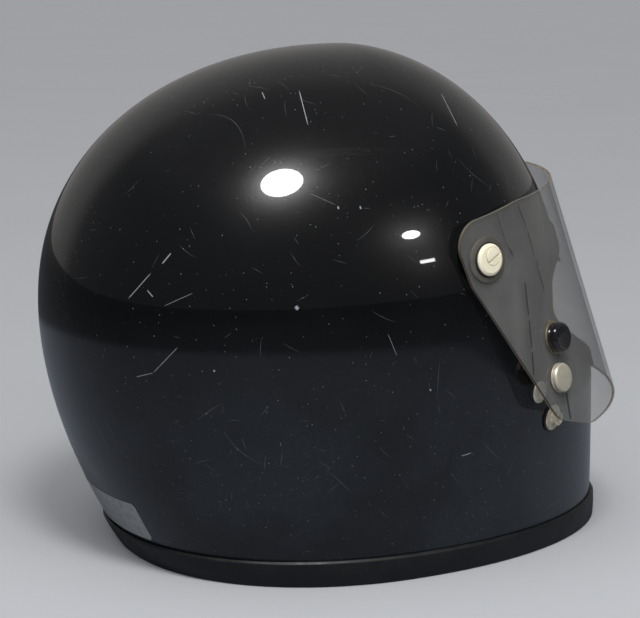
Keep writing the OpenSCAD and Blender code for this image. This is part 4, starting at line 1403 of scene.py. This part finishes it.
@dataclass
class VisorSheet:
    """The smoke sheet with its polished edge."""

    columns: int = 150
    rows: int = 56
    edge_bulge: float = 0.45

    def outline(self) -> tuple[np.ndarray, np.ndarray, np.ndarray, np.ndarray]:
        """Lower and upper chains of the side outline, by forward place."""
        loop = soften(SHEET.corners, 16, True)
        left = min(range(len(loop)), key=lambda k: loop[k][0])
        right = max(range(len(loop)), key=lambda k: loop[k][0])
        loop = loop[left:] + loop[:left]
        turn = (right - left) % len(loop)
        first, second = loop[:turn + 1], [loop[0]] + loop[:turn - 1:-1]
        chains = sorted((first, second), key=lambda c: np.mean([p[1] for p in c]))
        return tuple(np.array([p[k] for p in c]) for c in chains for k in (0, 1))

    def stations(self, rear: float) -> list[float]:
        """Forward places of the columns of one side, close together at the rear edge."""
        fine = [rear + (SHEET.reach - rear) * (k / 4000) for k in range(4001)]
        run = [0.0]
        for a, b in zip(fine, fine[1:]):
            run.append(run[-1] + math.hypot(b - a, SHEET.side_y(b, -50) - SHEET.side_y(a, -50)))
        rest = []
        for k in range(self.columns + 1):
            share = k / self.columns
            near = 1 - math.cos(math.pi / 2 * min(1.0, 3.2 * k / self.columns))
            rest.append(near * 0.12 + 0.88 * max(0.0, share - 0.06) / 0.94)
        places = np.interp([r * run[-1] for r in rest], run, fine)
        return [float(p) for p in places]

    def build(self, shop: Shop) -> None:
        """Makes the sheet."""
        low_f, low_s, high_f, high_s = self.outline()
        side = self.stations(float(low_f[0]) + 0.02)
        grid = [(f, -1.0) for f in side] + [(f, 1.0) for f in reversed(side[:-1])]
        half = SHEET.thick / 2
        skins = []
        for d in (half, -half):
            points = []
            for f, sign in grid:
                low, high = float(np.interp(f, low_f, low_s)), float(np.interp(f, high_f, high_s))
                for i in range(self.rows + 1):
                    s = low + (high - low) * i / self.rows
                    points.append(tuple(SHEET.to_world(self.lifted(f, s, d, sign))))
            skins.append(points)
        points, faces, rim = sheet_between(*skins, grid_faces(len(grid), self.rows + 1), self.edge_bulge, 4)
        sheet = shop.piece("visor_sheet", points, faces, Look.SHEET, VISOR, angle=60)
        sheet.data.materials.append(shop.materials[Look.SHEET_EDGE])
        count = (len(grid) - 1) * self.rows * 2
        for face in sheet.data.polygons:
            across = (face.index - rim) % 5 if face.index >= min(rim, count) else 0
            face.material_index = int(0 < across < 4)
        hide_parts("visor")

    @staticmethod
    def lifted(f: float, s: float, d: float, sign: float) -> tuple[float, float, float]:
        """Point of the sheet grown by d, its nose kept on the middle plane."""
        if f >= SHEET.reach - 1e-6:
            return SHEET.reach + d, 0.0, s
        return SHEET.point(f, s, d, sign)


@dataclass
class Pivot:
    """Ivory screw, a thin black ring of painted shade under its head, and the bush in the visor's hole, on
    one side.

    The head, the black ring and the bush turn with the visor; only the shank stays on the helmet.
    """

    side: Side
    head_r: float = 8.3
    head: float = 2.4
    boss_r: float = 4.5
    boss_rise: float = 0.5
    boss_place: tuple = (-1.2, -1.6)
    groove: float = 0.4
    groove_deep: float = 0.45
    slot_half: float = 0.95
    slot_deep: float = 0.7
    slot_ends: tuple = (-5.7, 4.7)
    beside_half: float = 9.0
    beside_rise: float = 0.06
    slot_place: tuple = (0.0, -1.7)
    slot_turn: float = math.radians(-9.3)
    bush_r: float = 12.0
    bush_rise: float = 0.8
    neck_r: float = 8.7
    shoulder_r: float = 4.0
    thread_r: float = 3.0

    @property
    def seat(self) -> float:
        """Height of the head's underside over the middle of the sheet."""
        return SHEET.thick / 2 + self.bush_rise + 0.1

    def build(self, shop: Shop) -> None:
        """Makes the screw, the black ring of painted shade under its head, and the bush."""
        word = self.side.word
        on_sheet, on_axis = visor_frame((0, 0), self.side), pivot_frame(self.side)
        foot = min(abs(corner.y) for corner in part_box(f"pivot_screw_{word}")) / MM
        r, seat, top = self.head_r, self.seat, self.seat + self.head
        screw = shop.turned(f"screw_{word}", [
            (0, seat, 0), (r - 0.5, seat, 0.3), (r, seat + 0.5, 0.4), (r, top - 1.0, 0.9),
            (r - 1.5, top - 0.12, 1.2), (0, top, 0)], Look.IVORY, VISOR, on_sheet, 96)
        here = on_sheet @ Matrix.Translation((*self.boss_place, 0))
        near, far, floor = self.boss_r - 0.05, self.boss_r + self.groove, top - self.groove_deep
        groove = [(near, top + 1), (near, floor), (far, floor), (far, top + 1), (near, top + 1)]
        shop.carve(screw, shop.cutter(*lathe(groove, 64), here))
        boss = shop.cutter(*lathe(soften([
            (0, seat + 1, 0), (self.boss_r, seat + 1, 0), (self.boss_r, top + self.boss_rise, 0.3),
            (0, top + self.boss_rise + 0.05, 0)]), 64), here)
        middle = SHEET.side_y(0, 0) + (seat - 0.4) / SHEET.normal(0, 0).y
        shank = shop.turned(f"screw_{word}_shank", [
            (0, foot, 0), (self.thread_r, foot, 0.6), (self.thread_r, foot + 6, 0),
            (self.shoulder_r, foot + 6, 0.3), (self.shoulder_r, middle, 0), (0, middle, 0)],
            Look.IVORY, HELMET, on_axis)
        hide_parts(f"pivot_screw_{word}")
        shop.weld(screw, boss)
        along = on_sheet @ Matrix.Translation((*self.slot_place, 0)) @ Matrix.Rotation(self.slot_turn, 4, "Z")
        (low, high), half, wide, clear = self.slot_ends, self.slot_half, self.beside_half, top + 4
        slot = shop.block((-half, low, top - self.slot_deep), (half, high, clear), along)
        beside = shop.block((0, -wide, top + self.beside_rise), (wide, wide, clear), along)
        shop.carve(screw, slot, beside)
        screw.data.set_sharp_from_angle(angle=math.radians(35))
        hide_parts(f"pivot_screw_{word}")
        # Thin black ring between the head's rim and the bush: painted shade for the shadowed gap under the
        # head.
        shade_ring = shop.turned(f"screw_{word}_seal", [
            (r - 1.2, seat - 0.06, 0), (r + 0.75, seat - 0.06, 0.1), (r + 0.75, seat + 0.35, 0.15),
            (r - 1.2, seat + 0.35, 0), (r - 1.2, seat - 0.06, 0)], Look.RUBBER, VISOR, on_sheet, 96)
        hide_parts(f"pivot_grommet_{word}")
        self.bush(shop, on_sheet, on_axis)

    def bush(self, shop: Shop, on_sheet: Matrix, on_axis: Matrix) -> None:
        """The bush: a flange that follows the sheet, and a neck through it."""
        word, half, sides = self.side.word, SHEET.thick / 2, 96
        out, neck, rise = self.bush_r, self.neck_r, self.bush_rise
        section = [(neck - 2, 0.05), (out - 0.1, 0.05), (out, 0.25), (out - 0.25, rise - 0.1),
                   (out - 0.6, rise), (out - 2.0, rise + 0.02), (neck + 0.6, rise), (neck - 2, rise)]
        points = []
        for k in range(sides):
            for r, z in section:
                x, y = polar(r, math.tau * k / sides)
                points.append((x, y, half + z + SHEET.rise_at(x, y)))
        faces = grid_faces(sides, len(section), True, True)
        flange = shop.piece(f"bush_{word}_flange", points, faces, Look.GROMMET, VISOR, on_sheet, 40)
        low = min(abs(corner.y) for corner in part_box(f"pivot_grommet_{word}")) / MM
        high = SHEET.side_y(0, 0) - 0.5
        core = shop.turned(f"bush_{word}_neck", [
            (self.shoulder_r + 0.1, low, 0), (neck, low, 0.3), (neck, high, 0),
            (self.shoulder_r + 0.1, high, 0), (self.shoulder_r + 0.1, low, 0)],
            Look.GROMMET, VISOR, on_axis)
        for piece in (flange, core):
            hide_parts(f"pivot_grommet_{word}")


@dataclass
class SheetFittings:
    """Knob with its ring and backing, and the snap cap with its socket, on one side of the visor."""

    side: Side
    knob_r: float = 8.2
    knob_height: float = 5.4
    cap_r: float = 7.8

    def build(self, shop: Shop) -> None:
        """Makes the pieces."""
        word, half = self.side.word, SHEET.thick / 2
        here = visor_frame(KNOB_PLACE, self.side)
        r, foot, top = self.knob_r, half + 0.7, half + 0.7 + self.knob_height
        knob = shop.turned(f"knob_{word}_cap", [
            (0, foot, 0), (r - 0.2, foot, 0.2), (r, foot + 0.7, 0.3), (r - 0.5, foot + 1.3, 0.4),
            (r - 0.3, foot + 2.6, 1.2), (r - 0.1, top - 1.3, 1.2), (r - 1.2, top, 0.7),
            (r - 1.8, top - 0.05, 0.3), (r - 2.3, top - 0.6, 0.5), (0, top - 0.75, 0)],
            Look.KNOB, VISOR, here)
        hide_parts(f"knob_{word}")
        self.ring(shop, here)
        back = shop.turned(f"knob_{word}_backing", [
            (0, -half - 4.2, 0), (4.2, -half - 4.2, 0.3), (4.8, -half - 3.9, 0.3), (7.0, -half - 3.7, 0.5),
            (7.7, -half - 3.1, 0.5), (7.7, -half - 0.4, 0.3), (0, -half - 0.4, 0)], Look.PLASTIC, VISOR, here)
        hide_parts(f"knob_backing_{word}")
        here = visor_frame(CAP_PLACE, self.side)
        r = self.cap_r
        cap = shop.turned(f"snap_{word}_cap", [
            (0, half + 0.05, 0), (r - 0.2, half + 0.05, 0.1), (r + 0.1, half + 0.3, 0.2),
            (r, half + 0.8, 0.2), (r - 1.1, half + 1.0, 0.15), (r - 1.1, half + 1.9, 0.1),
            (r - 0.2, half + 2.0, 0.15), (r, half + 2.4, 0.3), (r - 0.7, half + 3.5, 0.9),
            (r * 0.45, half + 3.8, 3), (0, half + 3.75, 0)],
            Look.CAP, VISOR, here)
        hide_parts(f"snap_cap_{word}")
        socket = shop.turned(f"snap_{word}_socket", [
            (0, -half - 1.9, 0), (3.9, -half - 1.9, 0.3), (4.2, -half - 3.6, 0.3), (5.2, -half - 3.6, 0.3),
            (5.7, -half - 1.8, 0.4), (7.5, -half - 1.2, 0.3), (7.5, -half - 0.35, 0.2), (0, -half - 0.35, 0)],
            Look.BRASSY, VISOR, here)
        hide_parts(f"snap_socket_{word}")

    def ring(self, shop: Shop, here: Matrix) -> None:
        """Thin washer with a tab above and below, its outer edge slightly rounded."""
        sides, points = 120, []
        low, high = SHEET.thick / 2 + 0.05, SHEET.thick / 2 + 0.65
        for k in range(sides):
            a = math.tau * k / sides
            tab = max(0.0, 1 - (abs(math.sin(a)) * (self.knob_r + 1) / 1.4) ** 6)
            out = self.knob_r + 0.6 + (1.6 * tab if tab > 0.02 else 0.0)
            section = ((3.0, low), (out - 0.1, low), (out, low + 0.2), (out - 0.15, high), (3.0, high))
            points += [(*polar(r, a), z) for r, z in section]
        faces = grid_faces(sides, 5, True, True)
        ring = shop.piece(f"knob_{self.side.word}_ring", points, faces, Look.PLAIN, VISOR, here)
        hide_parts(f"knob_ring_{self.side.word}")


@dataclass
class ShellFittings:
    """Snap stud with its washer, and the strap's rivet, on one side of the shell."""

    side: Side
    stud_r: float = 7.0
    rivet_r: float = 5.9
    rivet_tail: float = -9.3
    shank_r: float = 2.2

    def build(self, shop: Shop) -> None:
        """Makes the pieces."""
        word, r, p = self.side.word, self.stud_r, self.rivet_r
        here = shell_frame(STUD_PLACE, self.side)
        washer = shop.turned(f"stud_{word}_washer", [
            (2.5, 0.35, 0), (r + 0.6, 0.35, 0.2), (r + 0.9, 0.6, 0.2), (r + 0.8, 1.15, 0.3), (2.5, 1.2, 0),
            (2.5, 0.35, 0)], Look.PLASTIC, HELMET, here)
        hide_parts(f"stud_washer_{word}")
        stud = shop.turned(f"stud_{word}", [
            (0, -5.4, 0), (3.4, -5.4, 0.4), (3.4, -4.6, 0.3), (self.shank_r, -4.5, 0), (self.shank_r, 1.3, 0),
            (r - 0.1, 1.3, 0.2), (r, 1.65, 0.2), (r - 1.0, 2.3, 0.5), (5.0, 2.2, 0.4), (4.5, 2.0, 0.3),
            (4.0, 2.5, 0.3), (3.3, 3.0, 0.4), (3.2, 4.0, 0.8), (3.7, 4.7, 0.4), (3.7, 5.3, 0.3),
            (3.1, 5.8, 0.4), (2.2, 5.8, 0.3), (2.0, 5.3, 0.2), (2.0, 3.7, 0.3), (0.9, 3.5, 0.3),
            (0.8, 4.3, 0.3), (0, 4.4, 0)], Look.NICKEL, HELMET, here)
        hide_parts(f"snap_stud_{word}")
        here = shell_frame(RIVET_PLACE, self.side)
        tail = self.rivet_tail
        rivet = shop.turned(f"rivet_{word}", [
            (0, tail, 0), (3.8, tail, 0.4), (3.8, tail + 0.9, 0.3), (self.shank_r, tail + 0.95, 0),
            (self.shank_r, 0.3, 0), (p - 0.1, 0.3, 0.15), (p, 0.6, 0.15), (p - 0.7, 1.1, 0.5),
            (p * 0.5, 1.35, 2.5), (0, 1.5, 0)],
            Look.STEEL, HELMET, here)
        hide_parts(f"strap_rivet_{word}")


@dataclass
class ChinStrap:
    """Both straps with their stitching, and the two D-rings."""

    width: float = 22.0
    thick: float = 2.0
    depth: float = 7.9
    wire_r: float = 1.6
    bow_r: float = 13.5
    pitch: float = 4.0
    loop: tuple = (30.0, 46.0)
    stitch_count: int = 9

    @property
    def long_run(self) -> list:
        """Points of the long strap, inward and height."""
        return [(self.depth, 103), (self.depth, 85), (11, 65), (17, 45), (29, 25), (49, 10), (73, 3.4),
                (99, 1.4)]

    @property
    def ring_run(self) -> list:
        """Points of the short strap, inward and height."""
        return [(self.depth, 103), (self.depth, 86), (12, 73), (20, 62), (27, 54), (30, 49.4)]

    @staticmethod
    def frame_of(side: Side) -> Matrix:
        """The strap's frame: +X outward and level at the rivet, +Z up from the resting plane."""
        x, z = RIVET_PLACE
        n = SHELL.side_normal(x, z)
        base = Matrix.Translation((x, SHELL.side_y(x, z), 0)) @ Matrix.Rotation(math.atan2(n.y, n.x), 4, "Z")
        return on_side(Matrix.Scale(MM, 4) @ base, side)

    @staticmethod
    def along(run: list, t: float) -> Vector:
        """Point on a smooth run through the places."""
        i = min(len(run) - 2, int(t))
        u = t - i
        a, b, c, d = (Vector(run[max(0, min(len(run) - 1, i + k))]) for k in (-1, 0, 1, 2))
        second, third = 2 * a - 5 * b + 4 * c - d, 3 * b - a - 3 * c + d
        return 0.5 * (2 * b + (c - a) * u + second * u * u + third * u ** 3)

    def band(self, run: list, steps: int, start: float = 0.0, end: float = 1.0, half: float = 0.0,
             offset: float = 0.0, thick: float = 0.0, shift: float = 0.0) -> tuple[list, list]:
        """Webbing or a row of thread along a run.

        Args:
            run: Places of the run, inward and height.
            steps: Number of steps.
            start: Share of the run at which it starts.
            end: Share of the run at which it ends.
            half: Half its width, or 0 for the strap's own.
            offset: Distance from the strap's middle.
            thick: Thickness, or 0 for the strap's own.
            shift: Place across the strap.

        Returns:
            Points and faces.
        """
        half, thick, last = half or self.width / 2, thick or self.thick, len(run) - 1
        loops = []
        for i in range(steps + 1):
            t = last * (start + (end - start) * i / steps)
            p = self.along(run, t)
            way = (self.along(run, min(last, t + 0.02)) - self.along(run, max(0, t - 0.02))).normalized()
            u = Vector((way.y, -way.x))
            loop = []
            for k in range(16):
                a = math.tau * k / 16
                across, up = spow(math.cos(a), 0.45), spow(math.sin(a), 0.7)
                q = p + u * (offset + up * thick / 2)
                loop.append((-q.x, shift + across * half, q.y))
            loops.append(loop)
        return swept(loops)

    def stitches(self, name: str, shop: Shop, side: Side, run: list, start: float, end: float) -> None:
        """Three rows of stitches along both faces of the strap."""
        points, faces, count = [], [], self.stitch_count
        for shift in (-self.width * 0.36, 0.0, self.width * 0.36):
            for k in range(count):
                a = start + (end - start) * (k + 0.15) / count
                b = start + (end - start) * (k + 0.8) / count
                for up in (1, -1):
                    more, quads = self.band(run, 3, a, b, 0.4, up * self.thick / 2, 0.5, shift)
                    faces += [tuple(i + len(points) for i in f) for f in quads]
                    points += more
        shop.piece(name, points, faces, Look.THREAD, HELMET, self.frame_of(side))

    def build(self, shop: Shop) -> None:
        """Makes the straps and rings."""
        right, left = self.frame_of(Side.RIGHT), self.frame_of(Side.LEFT)
        long = shop.piece("long_strap_web", *self.band(self.long_run, 90), Look.WEBBING, HELMET, right, 50)
        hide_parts("long_strap")
        self.stitches("long_strap_thread", shop, Side.RIGHT, self.long_run, 0.16, 0.3)
        self.hem(shop)
        short = shop.piece("short_strap_web", *self.band(self.ring_run, 48), Look.WEBBING, HELMET, left, 50)
        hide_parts("ring_strap")
        self.stitches("short_strap_thread", shop, Side.LEFT, self.ring_run, 0.42, 0.84)
        self.fold(shop)
        for way, body, name in ((1, OUTER_RING, "d_ring_outer"), (-1, INNER_RING, "d_ring_inner")):
            ring = self.ring(shop, way, body, name)
            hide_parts(name)

    def hem(self, shop: Shop) -> None:
        """Folded end of the long strap."""
        run = self.long_run
        points, faces = self.band(run, 12, 0.9, 0.995, 0, -self.thick, self.thick * 0.9)
        shop.piece("long_strap_hem", points, faces, Look.WEBBING, HELMET, self.frame_of(Side.RIGHT), 50)

    def fold(self, shop: Shop) -> None:
        """Fold of the short strap round both bars."""
        x, z = self.loop
        inner, outer, edge = self.wire_r + 0.1, self.wire_r + self.thick, self.width / 2
        ring = [(-self.pitch / 2, math.radians(90 + 180 * k / 16)) for k in range(17)]
        ring += [(self.pitch / 2, math.radians(270 + 180 * k / 16)) for k in range(17)]
        section = ((outer, edge - 0.3), (outer - 0.4, edge), (inner + 0.3, edge), (inner, edge - 0.3),
                   (inner, 0.3 - edge), (inner + 0.3, -edge), (outer - 0.4, -edge), (outer, 0.3 - edge))
        loops = [[(-x + centre + r * math.cos(a), y, z + r * math.sin(a)) for r, y in section]
                 for centre, a in ring]
        place = self.frame_of(Side.LEFT)
        shop.piece("short_strap_fold", *swept(loops, True), Look.WEBBING, HELMET, place, 60)

    def ring(self, shop: Shop, way: int, body: str, name: str) -> bpy.types.Object:
        """One D-ring of bent wire on its straight bar; way is 1 for the outer ring, -1 for the inner one."""
        r, sides, across = self.bow_r, 20, Vector((1, 0, 0))
        bar = [(r - 2 * r * i / 24, 0.0) for i in range(25)]
        bow = [polar(r, math.pi + math.pi * i / 48) for i in range(1, 48)]
        path = [Vector((0, y, z)) for y, z in bar + bow]
        count, loops = len(path), []
        for i, p in enumerate(path):
            out = (path[(i + 1) % count] - path[i - 1]).normalized().cross(across)
            turns = [math.tau * j / sides for j in range(sides)]
            loops.append([p + self.wire_r * (across * math.cos(a) + out * math.sin(a)) for a in turns])
        hung = Matrix.Translation((way * self.pitch / 2 - self.loop[0], 0, self.loop[1]))
        place = self.frame_of(Side.LEFT) @ hung
        return shop.piece(f"{name}_wire", *swept(loops, True), Look.STEEL, body, place, 60)


@dataclass
class Interior:
    """Foam liners, cloth lining, cheek pads and neck roll."""

    gap: float = 0.6
    foam: float = 25.0
    foam_foot: float = 30.0
    chin_foam: float = 14.0
    chin_span: float = math.radians(62)
    chin_foot: float = 22.0
    chin_rise: float = 58.4
    cloth: float = 6.0
    cloth_thin: float = 2.2
    gores: int = 6
    cloth_foot: float = 112.0
    strap_front: float = 36.0
    strap_back: float = 76.0
    cheek_length: float = 78.0
    cheek_height: float = 80.0
    cheek_thick: float = 22.0
    roll_r: float = 9.3
    roll_sweep: float = math.radians(140)
    port_room: float = 10.0
    brow: float = 116.3

    @property
    def cloth_depth(self) -> float:
        """Depth of the cloth lining's back under the shell's outside."""
        return SHELL.wall + self.gap + self.foam + 0.9

    @staticmethod
    def cap(depth: float, foot: float, cols: int, low: int, high: int, swell=None) -> list:
        """Points of a dome at a depth, row by row from its foot, the crown last."""
        top, points = SHELL.height + depth, []
        for i, z in enumerate(dome_heights(top, foot, low, high)):
            for j in range(cols):
                out = swell(j / cols, i / (low + high)) if swell else 0
                points.append(SHELL.point(math.tau * j / cols, z, depth - out))
        return points + [(0.0, 0.0, top - (swell(0.03, 1.0) if swell else 0))]

    def face_cutters(self, shop: Shop) -> tuple[bpy.types.Object, bpy.types.Object]:
        """Shapes that cut the eye port and the room for the face out of a liner."""
        room = shop.block((self.strap_front, -FAR, -10), (FAR, FAR, self.brow))
        return shop.port_cutter(self.port_room), room

    def build(self, shop: Shop) -> None:
        """Makes the pieces."""
        self.impact(shop)
        self.chin(shop)
        self.lining(shop)
        for side in Side:
            self.cheek(shop, side)
        self.roll(shop)

    def impact(self, shop: Shop) -> None:
        """Bead foam of the crown, sides and back."""
        cols, low, high = 96, 14, 26
        outer = self.cap(-SHELL.wall - self.gap, self.foam_foot, cols, low, high)
        inner = self.cap(-SHELL.wall - self.gap - self.foam, self.foam_foot, cols, low, high)
        points, faces, _ = sheet_between(outer, inner, crown_faces(low + high, cols))
        liner = shop.piece("impact_foam", points, faces, Look.FOAM, angle=50)
        shop.carve(liner, *self.face_cutters(shop))
        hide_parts("impact_liner")

    def chin(self, shop: Shop) -> None:
        """Bead foam inside the chin bar."""
        cols, rows, span, back = 60, 14, self.chin_span, -SHELL.wall - self.gap
        places = [(-span + 2 * span * j / cols, self.chin_foot + self.chin_rise * i / rows)
                  for i in range(rows + 1) for j in range(cols + 1)]
        skins = [[SHELL.point(a, z, depth) for a, z in places] for depth in (back, back - self.chin_foam)]
        points, faces, _ = sheet_between(*skins, grid_faces(rows + 1, cols + 1), 0.8, 2)
        liner = shop.piece("chin_foam", points, faces, Look.FOAM, angle=50)
        shop.carve(liner, shop.block((-10, -FAR, 0), (self.strap_back, FAR, 200)))
        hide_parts("chin_liner")

    def lining(self, shop: Shop) -> None:
        """Quilted cloth lining of the crown."""
        cols, low, high = 144, 8, 40

        def swell(around: float, up: float) -> float:
            gore = abs(math.sin(math.pi * self.gores * around)) ** 0.5
            ring = min(1.0, abs(up - 0.62) * 14) ** 0.5
            loft = self.cloth - self.cloth_thin
            return loft * gore * ring if up < 0.93 else loft * 0.8 * ring

        outer = self.cap(-self.cloth_depth, self.cloth_foot, cols, low, high)
        inner = self.cap(-self.cloth_depth - self.cloth_thin, self.cloth_foot, cols, low, high, swell)
        points, faces, _ = sheet_between(outer, inner, crown_faces(low + high, cols), 0.8, 2)
        lining = shop.piece("crown_lining", points, faces, Look.CLOTH, angle=60)
        shop.carve(lining, *self.face_cutters(shop))
        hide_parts("comfort_liner")

    def cheek(self, shop: Shop, side: Side) -> None:
        """Crowned cheek pad with a sewn seam near its edge."""
        cols, rows, depth = 48, 48, -self.cloth_depth
        x0, z0 = self.strap_front - 2 - self.cheek_length, self.cloth_foot - 1 - self.cheek_height
        skins = []
        for face in (0, 1):
            points = []
            for i in range(rows + 1):
                for j in range(cols + 1):
                    u, v = 2 * j / cols - 1, 2 * i / rows - 1
                    pull = 1 - 0.03 * (1 - abs(u) ** 2) * (face == 1)
                    uu, vv = u * math.sqrt(1 - v * v * 0.12) * pull, v * math.sqrt(1 - u * u * 0.12) * pull
                    x, z = x0 + self.cheek_length * (uu + 1) / 2, z0 + self.cheek_height * (vv + 1) / 2
                    dome = max(0.0, (1 - abs(u) ** 4) * (1 - abs(v) ** 4)) ** 0.5
                    seam = math.exp(-((max(abs(u), abs(v)) - 0.8) / 0.03) ** 2)
                    wrinkle = 0.35 * math.sin(9 * u + 3 * v) * math.sin(5 * v - 2 * u)
                    t = 2 + (self.cheek_thick - 3.5) * dome - 1.6 * seam * dome + wrinkle * dome
                    y = SHELL.side_y(x, z, depth) - (t if face else 0.6 - 0.4 * dome)
                    points.append((x, side.value * y, z))
            skins.append(points)
        points, faces, _ = sheet_between(*skins, grid_faces(rows + 1, cols + 1), 0.9, 3)
        pad = shop.piece(f"cheek_pad_{side.word}_cover", points, faces, Look.CLOTH, angle=70)
        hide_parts(f"cheek_pad_{side.word}")

    def roll(self, shop: Shop) -> None:
        """Stuffed roll along the back of the neck, gathered a little."""
        steps, sides, sweep = 120, 32, self.roll_sweep
        depth, level = SHELL.wall + 0.4 + self.roll_r, self.foam_foot - 0.6 - self.roll_r
        loops = []
        for i in range(steps + 1):
            t = i / steps
            a = math.pi - sweep / 2 + sweep * t
            tip = min(1.0, (min(t, 1 - t) * 26 + 0.02)) ** 0.5
            r = (self.roll_r - 0.5) * (0.55 + 0.45 * math.sin(math.pi * t)) * tip
            r *= 1 + 0.025 * math.sin(t * 90) + 0.02 * math.sin(t * 37 + 1)
            section = (polar(r, -math.tau * k / sides) for k in range(sides))
            loops.append([SHELL.point(a, level + up, across - depth) for across, up in section])
        roll = shop.piece("neck_roll_cover", *swept(loops), Look.CLOTH, angle=70)
        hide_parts("neck_roll")


def dress_left_nodes(shop: Shop) -> None:
    """Gives the CAD nodes that stay their finishes."""
    looks = {"pivot_insert": Look.BRASSY, "pivot_spacer": Look.PLASTIC, "anchor_plate": Look.PLAIN}
    for stem, look in looks.items():
        for side in Side:
            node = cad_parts[f"{stem}_{side.word}"]
            for slot in node.material_slots:
                slot.material = shop.materials[look]


@dataclass
class Studio:
    """Camera, lamps, world and floor."""

    floor_half: float = 12.0
    fills: tuple = (("overhead", 1.5, (-0.25, -0.3, 1.0)), ("front", 1.7, (-0.3, -0.85, 0.5)))
    fill_angle: float = math.radians(75)
    key_spot: tuple = (282, 183)
    side_spot: tuple = (408, 235)
    strip_spot: tuple = (427, 261)

    @staticmethod
    def camera() -> None:
        """Makes the camera at the photograph's viewing angle."""
        data = bpy.data.cameras.new("camera")
        data.sensor_width, data.lens = VIEW.sensor, VIEW.lens
        data.shift_x, data.shift_y = VIEW.shift
        data.clip_start, data.clip_end = 0.05, 60.0
        camera = bpy.data.objects.new("camera", data)
        bpy.context.scene.collection.objects.link(camera)
        camera.matrix_world = VIEW.matrix
        bpy.context.scene.camera = camera

    @staticmethod
    def lamp(name: str, shape: str, size: tuple, watts: float, place: Vector, aim: Vector) -> None:
        """Adds a softbox that faces a point."""
        data = bpy.data.lights.new(name, "AREA")
        data.shape, data.energy = shape, watts
        data.size, data.size_y = size
        lamp = bpy.data.objects.new(name, data)
        bpy.context.scene.collection.objects.link(lamp)
        turn = (aim - place).to_track_quat("-Z", "Y").to_matrix().to_4x4()
        lamp.matrix_world = Matrix.Translation(place) @ turn

    @staticmethod
    def mirrored(u: float, v: float, distance: float) -> tuple[Vector, Vector]:
        """Where a lamp stands so that the shell shows its reflection at a place of the picture.

        Args:
            u: Place across the picture.
            v: Place down the picture.
            distance: Distance of the lamp, in metres.

        Returns:
            The lamp's place and the point of the shell, in metres.
        """
        point = VIEW.meet(SHELL, u, v)
        normal = SHELL.side_normal(point.x / MM, point.z / MM)
        normal.y = -normal.y
        way = VIEW.ray(u, v)
        return point + (way - 2 * way.dot(normal) * normal) * distance, point

    def lamps(self) -> None:
        """Adds the softboxes, and soft fills that the shell doesn't mirror."""
        self.lamp("key", "ELLIPSE", (0.38, 0.38), 15, *self.mirrored(*self.key_spot, 1.5))
        self.lamp("side", "ELLIPSE", (0.2, 0.12), 3, *self.mirrored(*self.side_spot, 2.2))
        self.lamp("strip", "RECTANGLE", (0.2, 0.05), 0.8, *self.mirrored(*self.strip_spot, 2.4))
        for name, strength, way in self.fills:
            data = bpy.data.lights.new(name, "SUN")
            data.energy, data.angle = strength, self.fill_angle
            fill = bpy.data.objects.new(name, data)
            bpy.context.scene.collection.objects.link(fill)
            fill.matrix_world = Vector(way).to_track_quat("Z", "Y").to_matrix().to_4x4()
            fill.visible_glossy = False

    @staticmethod
    def world() -> None:
        """A dim room with a greyer ceiling and a paler backdrop; the camera sees plain pale grey instead."""
        world = bpy.data.worlds.new("studio")
        bpy.context.scene.world = world
        world.use_nodes = True
        n = Nodes(world.node_tree)
        back = world.node_tree.nodes["Background"]
        way = n.add("ShaderNodeTexCoord").outputs["Generated"]
        up = n.axes(way)[2]
        behind = n.vector("DOT_PRODUCT", way, (0.45, 0.89, 0.0))
        room = n.mix(n.ramp(up, 0.62, 0.85), (0.11, 0.113, 0.116, 1), (0.17, 0.17, 0.175, 1))
        around = n.mix(n.ramp(behind, 0.35, 0.6), room, (0.24, 0.235, 0.23, 1))
        seen = n.add("ShaderNodeLightPath").outputs["Is Camera Ray"]
        n.feed(back, {"Color": n.mix(seen, around, (0.42, 0.425, 0.44, 1)), "Strength": 1.0})

    def floor(self, shop: Shop) -> None:
        """Adds the floor."""
        e = self.floor_half
        mesh = bpy.data.meshes.new("floor")
        mesh.from_pydata([(-e, -e, 0), (e, -e, 0), (e, e, 0), (-e, e, 0)], [], [(0, 1, 2, 3)])
        mesh.materials.append(shop.materials[Look.FLOOR])
        floor = bpy.data.objects.new("floor", mesh)
        bpy.context.scene.collection.objects.link(floor)

    def build(self, shop: Shop) -> None:
        """Makes the set."""
        self.lamps()
        self.world()
        self.floor(shop)
        view = bpy.context.scene.view_settings
        view.view_transform = "Standard"


def main() -> None:
    """Builds the helmet, piece by piece, and its set."""
    logging.basicConfig(level=logging.INFO, format="%(message)s")
    studio = Studio()
    studio.camera()
    shop = Shop()
    parts = [ShellMoulding(), EyePort(), VisorSheet(), ChinStrap(), Interior()]
    for side in Side:
        parts += [Pivot(side), SheetFittings(side), ShellFittings(side)]
    for part in parts:
        part.build(shop)
        log.info("built %s", part)
    dress_left_nodes(shop)
    studio.build(shop)


if __name__ == "__main__":
    main()
